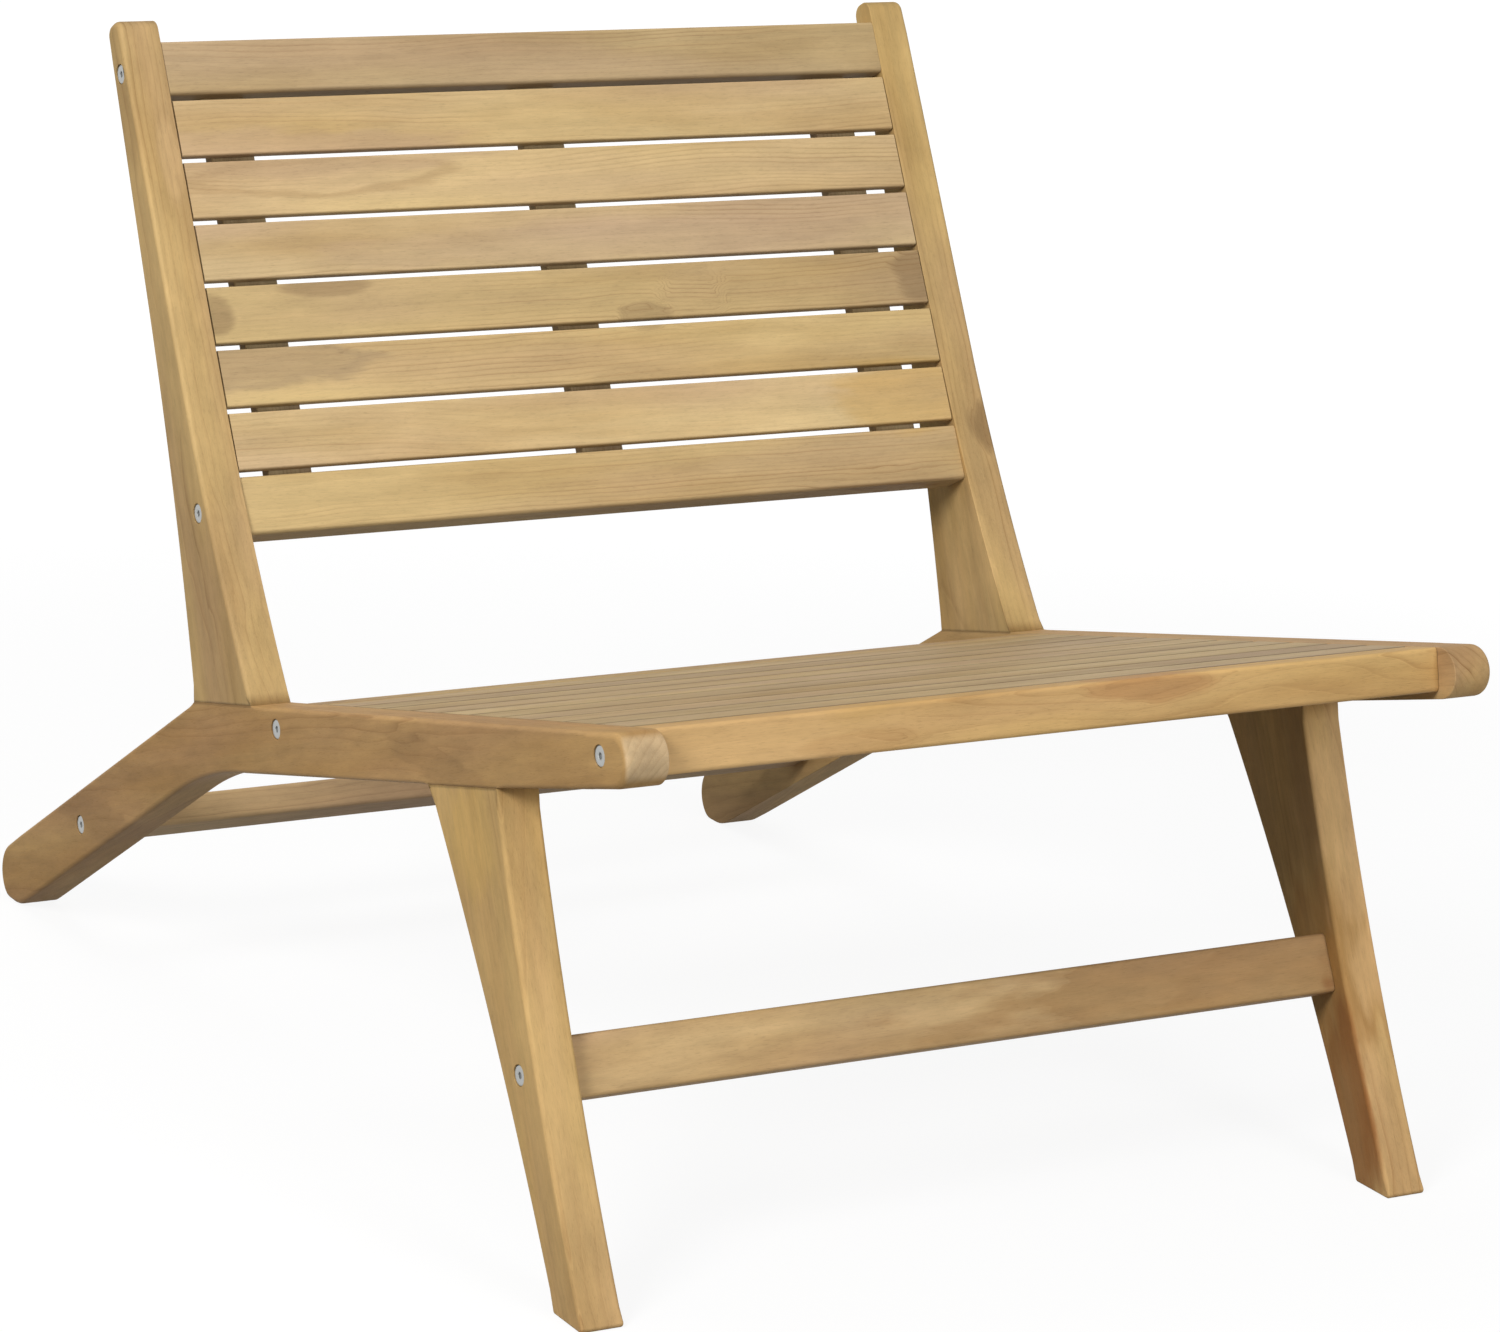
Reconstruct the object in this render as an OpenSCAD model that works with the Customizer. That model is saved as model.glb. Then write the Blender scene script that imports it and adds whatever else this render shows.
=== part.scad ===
// Low lounge chair of teak boards: two side frames, each a bent rail, an upright and a front leg,
// joined by square rails and two stretchers that carry a slatted seat and a slatted back.
// X runs across the chair, Y from front to back and Z up. The origin is on the floor, midway.

/* [Side frames] */
// Clear width between the two side frames
seat_w = 580; // [440:5:760]
// Thickness of the boards of the side frames
frame_t = 30; // [24:1:40]
// Slope of the seat, down towards the back, in degrees
seat_tilt = 13.2; // [8:0.2:18]
// Length of the seat arm, from the shoulder to the tip of the nose
arm_len = 627; // [600:1:720]
// Height of the seat arm at the shoulder
arm_root_h = 48; // [44:1:56]
// Height of the seat arm at the front of the leg joint
arm_leg_h = 40; // [37:1:44]
// Radius of the round nose of the seat arm
nose_r = 17; // [14:0.5:18]
// Slope of the rear leg below level, in degrees
rear_drop = 31; // [27:0.5:36]
// Length of the rear leg, from the shoulder to the tip of its foot
rear_leg_len = 414; // [380:2:450]
// Width of the rear leg
rear_leg_w = 48; // [46:1:56]
// Height of the flat that is cut under the round rear foot
sole_cut = 3; // [2:0.2:6]
// Radius of the inside bend between seat arm and rear leg
bend_r = 380; // [150:10:500]

/* [Uprights] */
// Lean of the back from the vertical, in degrees
back_lean = 28.4; // [22:0.2:34]
// Distance from the shoulder forward to the line where the plane of the back meets the seat
back_foot = 77; // [70:1:84]
// Width of the upright where it stands on the seat arm
upright_base_w = 95; // [88:1:104]
// Width of the upright at its top
upright_top_w = 21; // [20:0.5:30]
// Width of the upright where its rear edge turns from curved to straight
upright_mid_w = 34.5; // [30:0.5:42]
// Height of that turn, along the back
upright_mid_h = 300; // [240:5:360]
// Height where the front edge turns from curved to straight, along the back
upright_flare_h = 204; // [150:2:240]
// Hollow of the curved front edge
upright_front_hollow = 3.5; // [1:0.5:5]
// Hollow of the curved rear edge
upright_rear_hollow = 5; // [2:0.5:10]
// Radius of the rounded corners at the top of the upright
upright_corner_r = 8.5; // [4:0.5:8.5]
// Length of upright above the top rail
upright_over = 17.5; // [14:0.5:30]

/* [Front legs] */
// Distance from the shoulder forward to the middle of the front leg joint
leg_u = 408.5; // [390:0.5:450]
// Width of the front leg at its joint
leg_top_w = 95; // [84:1:104]
// Width of the front leg at the floor
leg_foot_w = 38.5; // [30:0.5:46]
// Distance that the front leg reaches forward on its way down
leg_rake = 169.5; // [130:0.5:185]
// Hollow of the front edge of the leg
leg_front_hollow = 7.5; // [3:0.5:10]
// Hollow of the rear edge of the leg
leg_rear_hollow = 6.5; // [3:0.5:9]

/* [Back panel] */
// Clear height between the seat and the bottom rail, along the back
back_clear = 118; // [108:0.5:135]
// Height of the top rail of the back
top_rail_w = 39.5; // [34:0.5:46]
// Thickness of the top rail
top_rail_t = 22; // [21:0.5:24]
// Height of the bottom rail of the back
bottom_rail_w = 41.5; // [34:0.5:46]
// Thickness of the bottom rail
bottom_rail_t = 26; // [22:0.5:32]
// Number of slats between them
back_slats = 6; // [4:1:6]
// Width of a slat of the back
back_slat_w = 41.4; // [34:0.2:44]
// Gap between the slats of the back
back_gap = 4; // [3:0.2:9]
// Thickness of all slats
slat_t = 11; // [9:0.5:12]
// Thickness of the battens behind the back
back_batten_t = 11; // [10:0.5:12]

/* [Seat panel] */
// Distance from the nose back to the front rail
front_setback = 18; // [18:0.5:30]
// Height and depth of the two seat rails
seat_rail = 29; // [27:0.5:32]
// Distance from the foot of the upright forward to the rear rail
rear_setback = 24.1; // [20:0.1:60]
// Number of slats that fill the seat between the two rails
seat_slats = 10; // [7:1:10]
// Gap between the slats of the seat
seat_gap = 2.9; // [2:0.1:6]
// Thickness of the battens under the seat
seat_batten_t = 18; // [14:0.5:18]
// Gap between the end of a slat and the side frame
slat_end_gap = 0.8; // [0.8:0.1:3]
// Width of all battens
batten_w = 33; // [26:1:34]
// Distance from a side frame to the middle of the nearest batten
batten_inset = 44; // [41:1:120]

/* [Stretchers] */
// Height of the front stretcher
front_stretcher_h = 40; // [36:1:46]
// Width of the rear stretcher, along the rear leg
rear_stretcher_w = 36; // [34:1:42]
// Thickness of both stretchers
stretcher_t = 22; // [20:0.5:26]
// Lean of the front stretcher from the vertical, in degrees
stretcher_lean = 27; // [20:0.5:32]
// Height of the middle of the front stretcher above the floor
stretcher_z = 135.5; // [115:1:170]
// Distance from the shoulder to the middle of the rear stretcher, along the rear leg
rear_stretcher_v = 242; // [180:2:300]

/* [Joints and fasteners] */
// Diameter of the frame bolts
bolt_d = 6; // [5:0.5:6.5]
// Diameter of the bolt heads
head_d = 13.5; // [11:0.5:15]
// Height of the bolt heads
head_h = 3; // [2:0.2:4]
// Depth of a bolt head's face below the wood
head_sink = 1.2; // [0.6:0.2:2.5]
// Diameter of the cross nuts
nut_d = 10; // [9:0.5:11]
// Length of the cross nuts
nut_len = 14; // [12:0.5:16]
// Distance from the end of a rail to its cross nut
nut_inset = 27; // [24:0.5:28]
// Diameter of the dowels in the side frames
frame_dowel_d = 10; // [8:1:12]
// Length of the dowels in the side frames
frame_dowel_len = 60; // [48:2:64]
// Diameter of the dowels in the stretchers
stretcher_dowel_d = 8; // [6:1:8]
// Length of the dowels in the stretchers
stretcher_dowel_len = 30; // [24:2:36]
// Distance from a stretcher's bolt to its dowel
dowel_step = 11; // [10.5:0.5:12]
// Width of a batten's tenons
tenon_w = 16; // [12:1:16]
// Length of a batten's tenons
tenon_len = 9; // [6:0.5:10]
// Diameter of the slat screws
screw_d = 3.5; // [3:0.1:4]
// Diameter of the screw heads
screw_head_d = 7; // [6:0.2:8]
// Depth of the slat screws in the slats
screw_bite = 7; // [5:0.5:8]
// Radius of the rounded long edges of rails, stretchers and slats
edge_r = 3; // [1:0.5:4]
// Clearance around dowels, tenons, nuts and screws
fit = 0.1; // [0.05:0.05:0.3]
// Clearance around the bolts
bolt_fit = 0.25; // [0.1:0.05:0.5]

/* [Hidden] */
$fn = 48;

side_x = seat_w / 2 + frame_t / 2;
foot_r = rear_leg_w / 2;
slat_len = seat_w - 2 * slat_end_gap;
arc_steps = 10;
round_gap = 0.8;
reach = 2;

// Points of the side outline, as [y, z] with the shoulder's top corner at zero
function seat_pt(u, d) =
    [-u * cos(seat_tilt) - d * sin(seat_tilt), u * sin(seat_tilt) - d * cos(seat_tilt)];
function rear_pt(v, d) =
    [v * cos(rear_drop) - d * sin(rear_drop), -v * sin(rear_drop) - d * cos(rear_drop)];
function back_pt(x, h) = seat_pt(back_foot, 0)
    + [x * cos(back_lean) + h * sin(back_lean), -x * sin(back_lean) + h * cos(back_lean)];

// Arc from p to q that rises s to the left of the line between them
function arc_pts(p, q, s) =
    let (half = norm(q - p) / 2, r = (half * half + s * s) / (2 * s), along = (q - p) / (2 * half),
        left = [-along[1], along[0]], centre = (p + q) / 2 + left * (s - r), turn = asin(half / r))
    [for (i = [-arc_steps:arc_steps])
        centre + r * (left * cos(turn * i / arc_steps) + along * sin(turn * i / arc_steps))];

// Seat arm
leg_front_u = leg_u + leg_top_w / 2;
leg_rear_u = leg_u - leg_top_w / 2;
under_slope = atan((arm_root_h - arm_leg_h) / leg_front_u);
function under_h(u) = arm_root_h - u * tan(under_slope);
nose_u = arm_len - nose_r;
nose_c = seat_pt(nose_u, nose_r);

// Inside bend, where the undersides of seat arm and rear leg meet
drop_change = rear_drop - seat_tilt;
bend_angle = drop_change - under_slope;
bend_u = (rear_leg_w / cos(drop_change) - arm_root_h) / (tan(drop_change) - tan(under_slope));
bend_corner = seat_pt(bend_u, under_h(bend_u));
bend_reach = bend_r * tan(bend_angle / 2);
arm_under_dir = [-cos(seat_tilt + under_slope), sin(seat_tilt + under_slope)];
rear_dir = [cos(rear_drop), -sin(rear_drop)];
bend_start = bend_corner + arm_under_dir * bend_reach;
bend_end = bend_corner + rear_dir * bend_reach;

// Rear foot, and the height of the shoulder that follows from it
foot_v = rear_leg_len - foot_r;
foot_c = rear_pt(foot_v, foot_r);
shoulder_z = foot_r - sole_cut - foot_c[1];

// Front leg
leg_top = seat_pt(leg_u, under_h(leg_u));
leg_rear_top = seat_pt(leg_rear_u, under_h(leg_rear_u));
leg_front_top = seat_pt(leg_front_u, arm_leg_h);
leg_foot_y = leg_top[0] - leg_rake;
leg_front_foot = [leg_foot_y - leg_foot_w / 2, -shoulder_z];
leg_rear_foot = [leg_foot_y + leg_foot_w / 2, -shoulder_z];

// The chair is centred from front to back
front_y = min(nose_c[0] - nose_r, leg_front_foot[0]);
shoulder_y = -(front_y + foot_c[0] + foot_r) / 2;

// Back panel: heights along the back
back_pitch = back_slat_w + back_gap;
back_inner_h = back_clear + bottom_rail_w;
bottom_rail_h = back_inner_h - bottom_rail_w / 2;
first_slat_h = back_inner_h + back_gap + back_slat_w / 2;
last_slat_h = first_slat_h + (back_slats - 1) * back_pitch;
back_inner = back_slats * back_pitch + back_gap;
top_rail_h = back_inner_h + back_inner + top_rail_w / 2;
back_len = top_rail_h + top_rail_w / 2 + upright_over;

// Upright
cap_h = back_len - upright_corner_r;
cap_x = upright_corner_r + round_gap;

// Seat panel: distances forward of the shoulder
front_rail_u = arm_len - front_setback - seat_rail / 2;
rear_rail_u = upright_base_w + rear_setback + seat_rail / 2;
seat_middle_u = (front_rail_u + rear_rail_u) / 2;
seat_inner = front_rail_u - rear_rail_u - seat_rail;
seat_pitch = (seat_inner - seat_gap) / seat_slats;
seat_slat_w = seat_pitch - seat_gap;
first_seat_u = front_rail_u - seat_rail / 2 - seat_gap - seat_slat_w / 2;

// Front stretcher: its middle lies on the line midway between the edges of the leg
leg_axis_share = stretcher_z / (leg_top[1] + shoulder_z);
stretcher_y = leg_foot_y + leg_rake * leg_axis_share;

// Bolts run from the outer face of a side frame into the cross nuts
head_pocket = head_h + head_sink;
bolt_past_nut = nut_d / 2 + reach;
bolt_len = frame_t - head_pocket + nut_inset + bolt_past_nut;
nut_x = seat_w / 2 - nut_inset;
head_x = seat_w / 2 + frame_t - head_pocket;
socket_share = 0.66;
socket_w = bolt_d * socket_share;
socket_floor = head_h / 3;
batten_x = seat_w / 2 - batten_inset;
batten_places = [-batten_x, 0, batten_x];
screw_head_h = (screw_head_d - screw_d) / 2;
back_screw_len = back_batten_t + screw_bite;
seat_screw_len = seat_batten_t + screw_bite;
upright_dowel_step = upright_base_w / 4;
leg_dowel_step = leg_top_w / 4;
tenon_share = 0.55;
tenon_t = min(back_batten_t, seat_batten_t) * tenon_share;
teak = "#C4A06B";
teak_light = "#CDAA78";
teak_dark = "#9C774B";
teak_grey = "#AB9168";
teak_gold = "#CB9F5C";
zinc = "#B9BABD";

// Places of the pieces
module at_shoulder() { translate([0, shoulder_y, shoulder_z]) children(); }
module at_seat() { at_shoulder() rotate([-seat_tilt, 0, 0]) children(); }
module at_back() {
    at_seat() translate([0, -back_foot, 0]) rotate([seat_tilt - back_lean, 0, 0]) children();
}
module at_rear_leg() { at_shoulder() rotate([-rear_drop, 0, 0]) children(); }
module at_top_rail() { at_back() translate([0, top_rail_t / 2, top_rail_h]) children(); }
module at_bottom_rail() { at_back() translate([0, bottom_rail_t / 2, bottom_rail_h]) children(); }
module at_front_rail() { at_seat() translate([0, -front_rail_u, -seat_rail / 2]) children(); }
module at_rear_rail() { at_seat() translate([0, -rear_rail_u, -seat_rail / 2]) children(); }
module at_front_stretcher() {
    translate([0, shoulder_y + stretcher_y, stretcher_z]) rotate([-stretcher_lean, 0, 0]) children();
}
module at_rear_stretcher() { at_rear_leg() translate([0, rear_stretcher_v, -rear_leg_w / 2]) children(); }
module at_cross_pieces() {
    at_top_rail() children();
    at_bottom_rail() children();
    at_front_rail() children();
    at_rear_rail() children();
    at_front_stretcher() children();
    at_rear_stretcher() children();
}
// Cross pieces whose nuts go in from the back, and those whose nuts go in from below or above
module at_back_bored() {
    at_top_rail() children();
    at_bottom_rail() children();
    at_front_stretcher() children();
}
module at_upright_bored() {
    at_front_rail() children();
    at_rear_rail() children();
    at_rear_stretcher() children();
}
module both_sides() { for (s = [0, 180]) rotate([0, 0, s]) children(); }
module mirrored() {
    children();
    mirror([1, 0, 0]) children();
}

// A board cut to an outline given as [y, z], standing across X
module board(t) { rotate([90, 0, 90]) linear_extrude(t, center = true) children(); }

// A bar along X with rounded long edges, d deep and h high
module bar(len, d, h, r) {
    board(len) {
        square([d - 2 * r, h], center = true);
        square([d, h - 2 * r], center = true);
        for (y = [-1, 1], z = [-1, 1])
            translate([y * (d / 2 - r), z * (h / 2 - r)]) circle(r);
    }
}

// Cylinder along X between two places
module rod_x(x0, x1, d) { translate([x0, 0, 0]) rotate([0, 90, 0]) cylinder(d = d, h = x1 - x0); }

// Cylinder along Y between two places
module rod_y(y0, y1, d) { translate([0, y0, 0]) rotate([-90, 0, 0]) cylinder(d = d, h = y1 - y0); }

// Cylinder along Z between two places
module rod_z(z0, z1, d) { translate([0, 0, z0]) cylinder(d = d, h = z1 - z0); }

// Outlines. The straight edges stop just short of the widest part of a round end, so that they
// cross the round instead of only touching it.
module rail_outline() {
    polygon(concat([seat_pt(0, 0), seat_pt(nose_u - round_gap, 0), seat_pt(nose_u - round_gap, 2 * nose_r),
            leg_front_top],
        arc_pts(bend_start, bend_end, bend_r * (1 - cos(bend_angle / 2))),
        [rear_pt(foot_v - round_gap, rear_leg_w), rear_pt(foot_v - round_gap, 0)]));
    translate(nose_c) circle(nose_r);
    translate(foot_c) circle(foot_r);
}

module upright_outline() {
    polygon(concat(arc_pts(seat_pt(0, 0), back_pt(upright_mid_w, upright_mid_h), upright_rear_hollow),
        [back_pt(upright_top_w, cap_h - round_gap), back_pt(upright_top_w - cap_x, back_len),
            back_pt(cap_x, back_len), back_pt(0, cap_h - round_gap)],
        arc_pts(back_pt(0, upright_flare_h), seat_pt(upright_base_w, 0), upright_front_hollow)));
    for (x = [upright_corner_r, upright_top_w - upright_corner_r])
        translate(back_pt(x, cap_h)) circle(upright_corner_r);
}

module leg_outline() {
    polygon(concat(arc_pts(leg_rear_foot, leg_rear_top, leg_rear_hollow),
        arc_pts(leg_front_top, leg_front_foot, leg_front_hollow)));
}

// Bolt holes through the right side frame, with pockets for the heads
module frame_bolt_holes() {
    at_cross_pieces() {
        rod_x(seat_w / 2 - reach, seat_w / 2 + frame_t + reach, bolt_d + 2 * bolt_fit);
        rod_x(head_x, seat_w / 2 + frame_t + reach, head_d + 4 * bolt_fit);
    }
}

// Places of the dowels of the right side frame, each with its axis square to the joint
module at_upright_dowels() {
    for (s = [-1, 1])
        at_seat() translate([side_x, -upright_base_w / 2 + s * upright_dowel_step, 0]) children();
}
module at_leg_dowels() {
    for (s = [-1, 1])
        at_shoulder() translate([side_x, leg_top[0], leg_top[1]]) rotate([-seat_tilt - under_slope, 0, 0])
            translate([0, s * leg_dowel_step, 0]) children();
}
module frame_dowel(gap) {
    rod_z(-frame_dowel_len / 2 - gap, frame_dowel_len / 2 + gap, frame_dowel_d + 2 * gap);
}
module at_stretcher_dowels() {
    at_front_stretcher() translate([0, 0, dowel_step]) children();
    at_rear_stretcher() translate([0, dowel_step, 0]) children();
}
module stretcher_dowel(gap) {
    rod_x(seat_w / 2 - stretcher_dowel_len / 2 - gap, seat_w / 2 + stretcher_dowel_len / 2 + gap,
        stretcher_dowel_d + 2 * gap);
}

// Right side frame
module side_rail() {
    difference() {
        translate([side_x, 0, 0]) at_shoulder() board(frame_t) rail_outline();
        translate([0, shoulder_y, -rear_leg_w])
            cube([4 * side_x, 4 * rear_leg_len, 2 * rear_leg_w], center = true);
        frame_bolt_holes();
        at_upright_dowels() frame_dowel(fit);
        at_leg_dowels() frame_dowel(fit);
        at_stretcher_dowels() stretcher_dowel(fit);
    }
}

module upright() {
    difference() {
        translate([side_x, 0, 0]) at_shoulder() board(frame_t) upright_outline();
        frame_bolt_holes();
        at_upright_dowels() frame_dowel(fit);
    }
}

module front_leg() {
    difference() {
        translate([side_x, 0, 0]) at_shoulder() board(frame_t) leg_outline();
        frame_bolt_holes();
        at_leg_dowels() frame_dowel(fit);
        at_stretcher_dowels() stretcher_dowel(fit);
    }
}

module side_rail_right() { color(teak_dark) side_rail(); }
module side_rail_left() { color(teak_dark) mirror([1, 0, 0]) side_rail(); }
module upright_right() { color(teak) upright(); }
module upright_left() { color(teak) mirror([1, 0, 0]) upright(); }
module front_leg_right() { color(teak) front_leg(); }
module front_leg_left() { color(teak) mirror([1, 0, 0]) front_leg(); }

// Bolt bore in both ends of a cross piece
module end_bores() {
    mirrored() rod_x(nut_x - bolt_past_nut - reach, seat_w / 2 + reach, bolt_d + 2 * bolt_fit);
}

// Bores for the cross nuts, open at the back, below or above, t thick there
module nut_bores_back(t) {
    mirrored() translate([nut_x, 0, 0]) rod_y(-nut_len / 2 - fit, t / 2 + reach, nut_d + 2 * fit);
}
module nut_bores_under(t) {
    mirrored() translate([nut_x, 0, 0]) rod_z(-t / 2 - reach, nut_len / 2 + fit, nut_d + 2 * fit);
}
module nut_bores_over(t) {
    mirrored() translate([nut_x, 0, 0]) rod_z(-nut_len / 2 - fit, t / 2 + reach, nut_d + 2 * fit);
}

// Tenons of the back battens, in the plane of the back
module back_tenons(gap) {
    for (x = batten_places)
        at_back() translate([x, slat_t + back_batten_t / 2, back_inner_h + back_inner / 2])
            cube([tenon_w, tenon_t, back_inner + 2 * tenon_len] + 2 * gap * [1, 1, 1], center = true);
}

// Tenons of the seat battens, in the plane of the seat
module seat_tenons(gap) {
    for (x = batten_places)
        at_seat() translate([x, -seat_middle_u, -slat_t - seat_batten_t / 2])
            cube([tenon_w, seat_inner + 2 * tenon_len, tenon_t] + 2 * gap * [1, 1, 1], center = true);
}

// Back panel
module back_rail(t, h) {
    difference() {
        bar(seat_w, t, h, edge_r);
        end_bores();
        nut_bores_back(t);
    }
}
module back_top_rail() {
    color(teak) difference() {
        at_top_rail() back_rail(top_rail_t, top_rail_w);
        back_tenons(fit);
    }
}
module back_bottom_rail() {
    color(teak_light) difference() {
        at_bottom_rail() back_rail(bottom_rail_t, bottom_rail_w);
        back_tenons(fit);
    }
}

// Screws go through the battens into every slat, from behind or below
module at_back_screws(i) {
    for (x = batten_places)
        at_back() translate([x, slat_t + back_batten_t, last_slat_h - (i - 1) * back_pitch])
            rotate([90, 0, 0]) children();
}
module at_seat_screws(i) {
    for (x = batten_places)
        at_seat() translate([x, -first_seat_u + (i - 1) * seat_pitch, -slat_t - seat_batten_t]) children();
}
module screw(len) {
    cylinder(d1 = screw_head_d, d2 = screw_d, h = screw_head_h);
    rod_z(screw_head_h, len, screw_d);
}
module screw_hole(len) {
    translate([0, 0, -fit])
        cylinder(d1 = screw_head_d + 4 * fit, d2 = screw_d + 2 * fit, h = screw_head_h + fit);
    rod_z(screw_head_h - fit, len + fit, screw_d + 2 * fit);
}

module back_slat(i) {
    if (i <= back_slats)
        color(teak_light) difference() {
            at_back() translate([0, slat_t / 2, last_slat_h - (i - 1) * back_pitch])
                bar(slat_len, slat_t, back_slat_w, edge_r);
            at_back_screws(i) screw_hole(back_screw_len);
        }
}
module back_slat_1() { back_slat(1); }
module back_slat_2() { back_slat(2); }
module back_slat_3() { back_slat(3); }
module back_slat_4() { back_slat(4); }
module back_slat_5() { back_slat(5); }
module back_slat_6() { back_slat(6); }

module back_batten(x) {
    color(teak_grey) difference() {
        union() {
            at_back() translate([x, slat_t + back_batten_t / 2, back_inner_h + back_inner / 2])
                cube([batten_w, back_batten_t, back_inner], center = true);
            intersection() {
                back_tenons(0);
                at_back() translate([x, 0, back_len / 2])
                    cube([batten_w, back_len, back_len], center = true);
            }
        }
        for (i = [1:back_slats]) at_back_screws(i) screw_hole(back_screw_len);
    }
}
module back_batten_left() { back_batten(-batten_x); }
module back_batten_middle() { back_batten(0); }
module back_batten_right() { back_batten(batten_x); }

// Seat panel
module seat_rail_bar() {
    difference() {
        bar(seat_w, seat_rail, seat_rail, edge_r);
        end_bores();
        nut_bores_under(seat_rail);
    }
}
module seat_front_rail() {
    color(teak_gold) difference() {
        at_front_rail() seat_rail_bar();
        seat_tenons(fit);
    }
}
module seat_rear_rail() {
    color(teak_grey) difference() {
        at_rear_rail() seat_rail_bar();
        seat_tenons(fit);
    }
}

module seat_slat(i) {
    if (i <= seat_slats)
        color(teak_grey) difference() {
            at_seat() translate([0, -first_seat_u + (i - 1) * seat_pitch, -slat_t / 2])
                bar(slat_len, seat_slat_w, slat_t, edge_r);
            at_seat_screws(i) screw_hole(seat_screw_len);
        }
}
module seat_slat_1() { seat_slat(1); }
module seat_slat_2() { seat_slat(2); }
module seat_slat_3() { seat_slat(3); }
module seat_slat_4() { seat_slat(4); }
module seat_slat_5() { seat_slat(5); }
module seat_slat_6() { seat_slat(6); }
module seat_slat_7() { seat_slat(7); }
module seat_slat_8() { seat_slat(8); }
module seat_slat_9() { seat_slat(9); }
module seat_slat_10() { seat_slat(10); }

module seat_batten(x) {
    color(teak_grey) difference() {
        union() {
            at_seat() translate([x, -seat_middle_u, -slat_t - seat_batten_t / 2])
                cube([batten_w, seat_inner, seat_batten_t], center = true);
            intersection() {
                seat_tenons(0);
                at_seat() translate([x, -arm_len / 2, 0]) cube([batten_w, arm_len, arm_len], center = true);
            }
        }
        for (i = [1:seat_slats]) at_seat_screws(i) screw_hole(seat_screw_len);
    }
}
module seat_batten_left() { seat_batten(-batten_x); }
module seat_batten_middle() { seat_batten(0); }
module seat_batten_right() { seat_batten(batten_x); }

// Stretchers
module front_stretcher() {
    color(teak) difference() {
        at_front_stretcher() difference() {
            bar(seat_w, stretcher_t, front_stretcher_h, edge_r);
            end_bores();
            nut_bores_back(stretcher_t);
        }
        mirrored() at_stretcher_dowels() stretcher_dowel(fit);
    }
}
module rear_stretcher() {
    color(teak_dark) difference() {
        at_rear_stretcher() difference() {
            bar(seat_w, rear_stretcher_w, stretcher_t, edge_r);
            end_bores();
            nut_bores_over(stretcher_t);
        }
        mirrored() at_stretcher_dowels() stretcher_dowel(fit);
    }
}

// Fasteners
module bolt() {
    difference() {
        union() {
            rod_x(head_x - bolt_len, head_x, bolt_d);
            rod_x(head_x, head_x + head_h, head_d);
        }
        translate([head_x + socket_floor, 0, 0]) rotate([0, 90, 0])
            cylinder(r = socket_w / sqrt(3), h = head_h, $fn = 6);
    }
}
module frame_bolts() { color(zinc) at_cross_pieces() both_sides() bolt(); }

module cross_nuts() {
    color(zinc) {
        at_back_bored() mirrored() difference() {
            translate([nut_x, 0, 0]) rod_y(-nut_len / 2, nut_len / 2, nut_d);
            rod_x(nut_x - nut_d, nut_x + nut_d, bolt_d + fit);
        }
        at_upright_bored() mirrored() difference() {
            translate([nut_x, 0, 0]) rod_z(-nut_len / 2, nut_len / 2, nut_d);
            rod_x(nut_x - nut_d, nut_x + nut_d, bolt_d + fit);
        }
    }
}

module frame_dowels() {
    color(teak_light) mirrored() {
        at_upright_dowels() frame_dowel(0);
        at_leg_dowels() frame_dowel(0);
    }
}
module stretcher_dowels() { color(teak_light) mirrored() at_stretcher_dowels() stretcher_dowel(0); }
module back_screws() { color(zinc) for (i = [1:back_slats]) at_back_screws(i) screw(back_screw_len); }
module seat_screws() { color(zinc) for (i = [1:seat_slats]) at_seat_screws(i) screw(seat_screw_len); }

side_rail_left();
side_rail_right();
upright_left();
upright_right();
front_leg_left();
front_leg_right();
back_top_rail();
back_bottom_rail();
back_slat_1();
back_slat_2();
back_slat_3();
back_slat_4();
back_slat_5();
back_slat_6();
back_batten_left();
back_batten_middle();
back_batten_right();
seat_front_rail();
seat_rear_rail();
seat_slat_1();
seat_slat_2();
seat_slat_3();
seat_slat_4();
seat_slat_5();
seat_slat_6();
seat_slat_7();
seat_slat_8();
seat_slat_9();
seat_slat_10();
seat_batten_left();
seat_batten_middle();
seat_batten_right();
front_stretcher();
rear_stretcher();
frame_bolts();
cross_nuts();
frame_dowels();
stretcher_dowels();
back_screws();
seat_screws();
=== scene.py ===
"""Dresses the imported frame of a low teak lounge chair: boards and bars with rounded edges, wood that
is cut out of a log ring by ring, bolts, nuts and screws, and a plain pale studio."""

import math

import bmesh
import bpy
from bpy.props import FloatProperty, FloatVectorProperty, PointerProperty
from mathutils import Matrix, Vector
from mathutils.geometry import tessellate_polygon


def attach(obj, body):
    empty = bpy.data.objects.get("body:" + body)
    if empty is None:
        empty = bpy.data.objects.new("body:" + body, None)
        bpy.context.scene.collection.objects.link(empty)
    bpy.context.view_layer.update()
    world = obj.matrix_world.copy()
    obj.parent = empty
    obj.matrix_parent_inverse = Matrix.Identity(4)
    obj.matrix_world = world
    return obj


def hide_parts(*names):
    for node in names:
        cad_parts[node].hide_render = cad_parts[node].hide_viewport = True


bl_info = {
    "name": "Teak Lounge Chair",
    "version": (1, 0, 0),
    "blender": (4, 5, 0),
    "location": "3D View > Sidebar > Chair",
    "description": "Builds the visible boards, bars and fasteners of a low teak lounge chair",
    "category": "Object",
}

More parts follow.
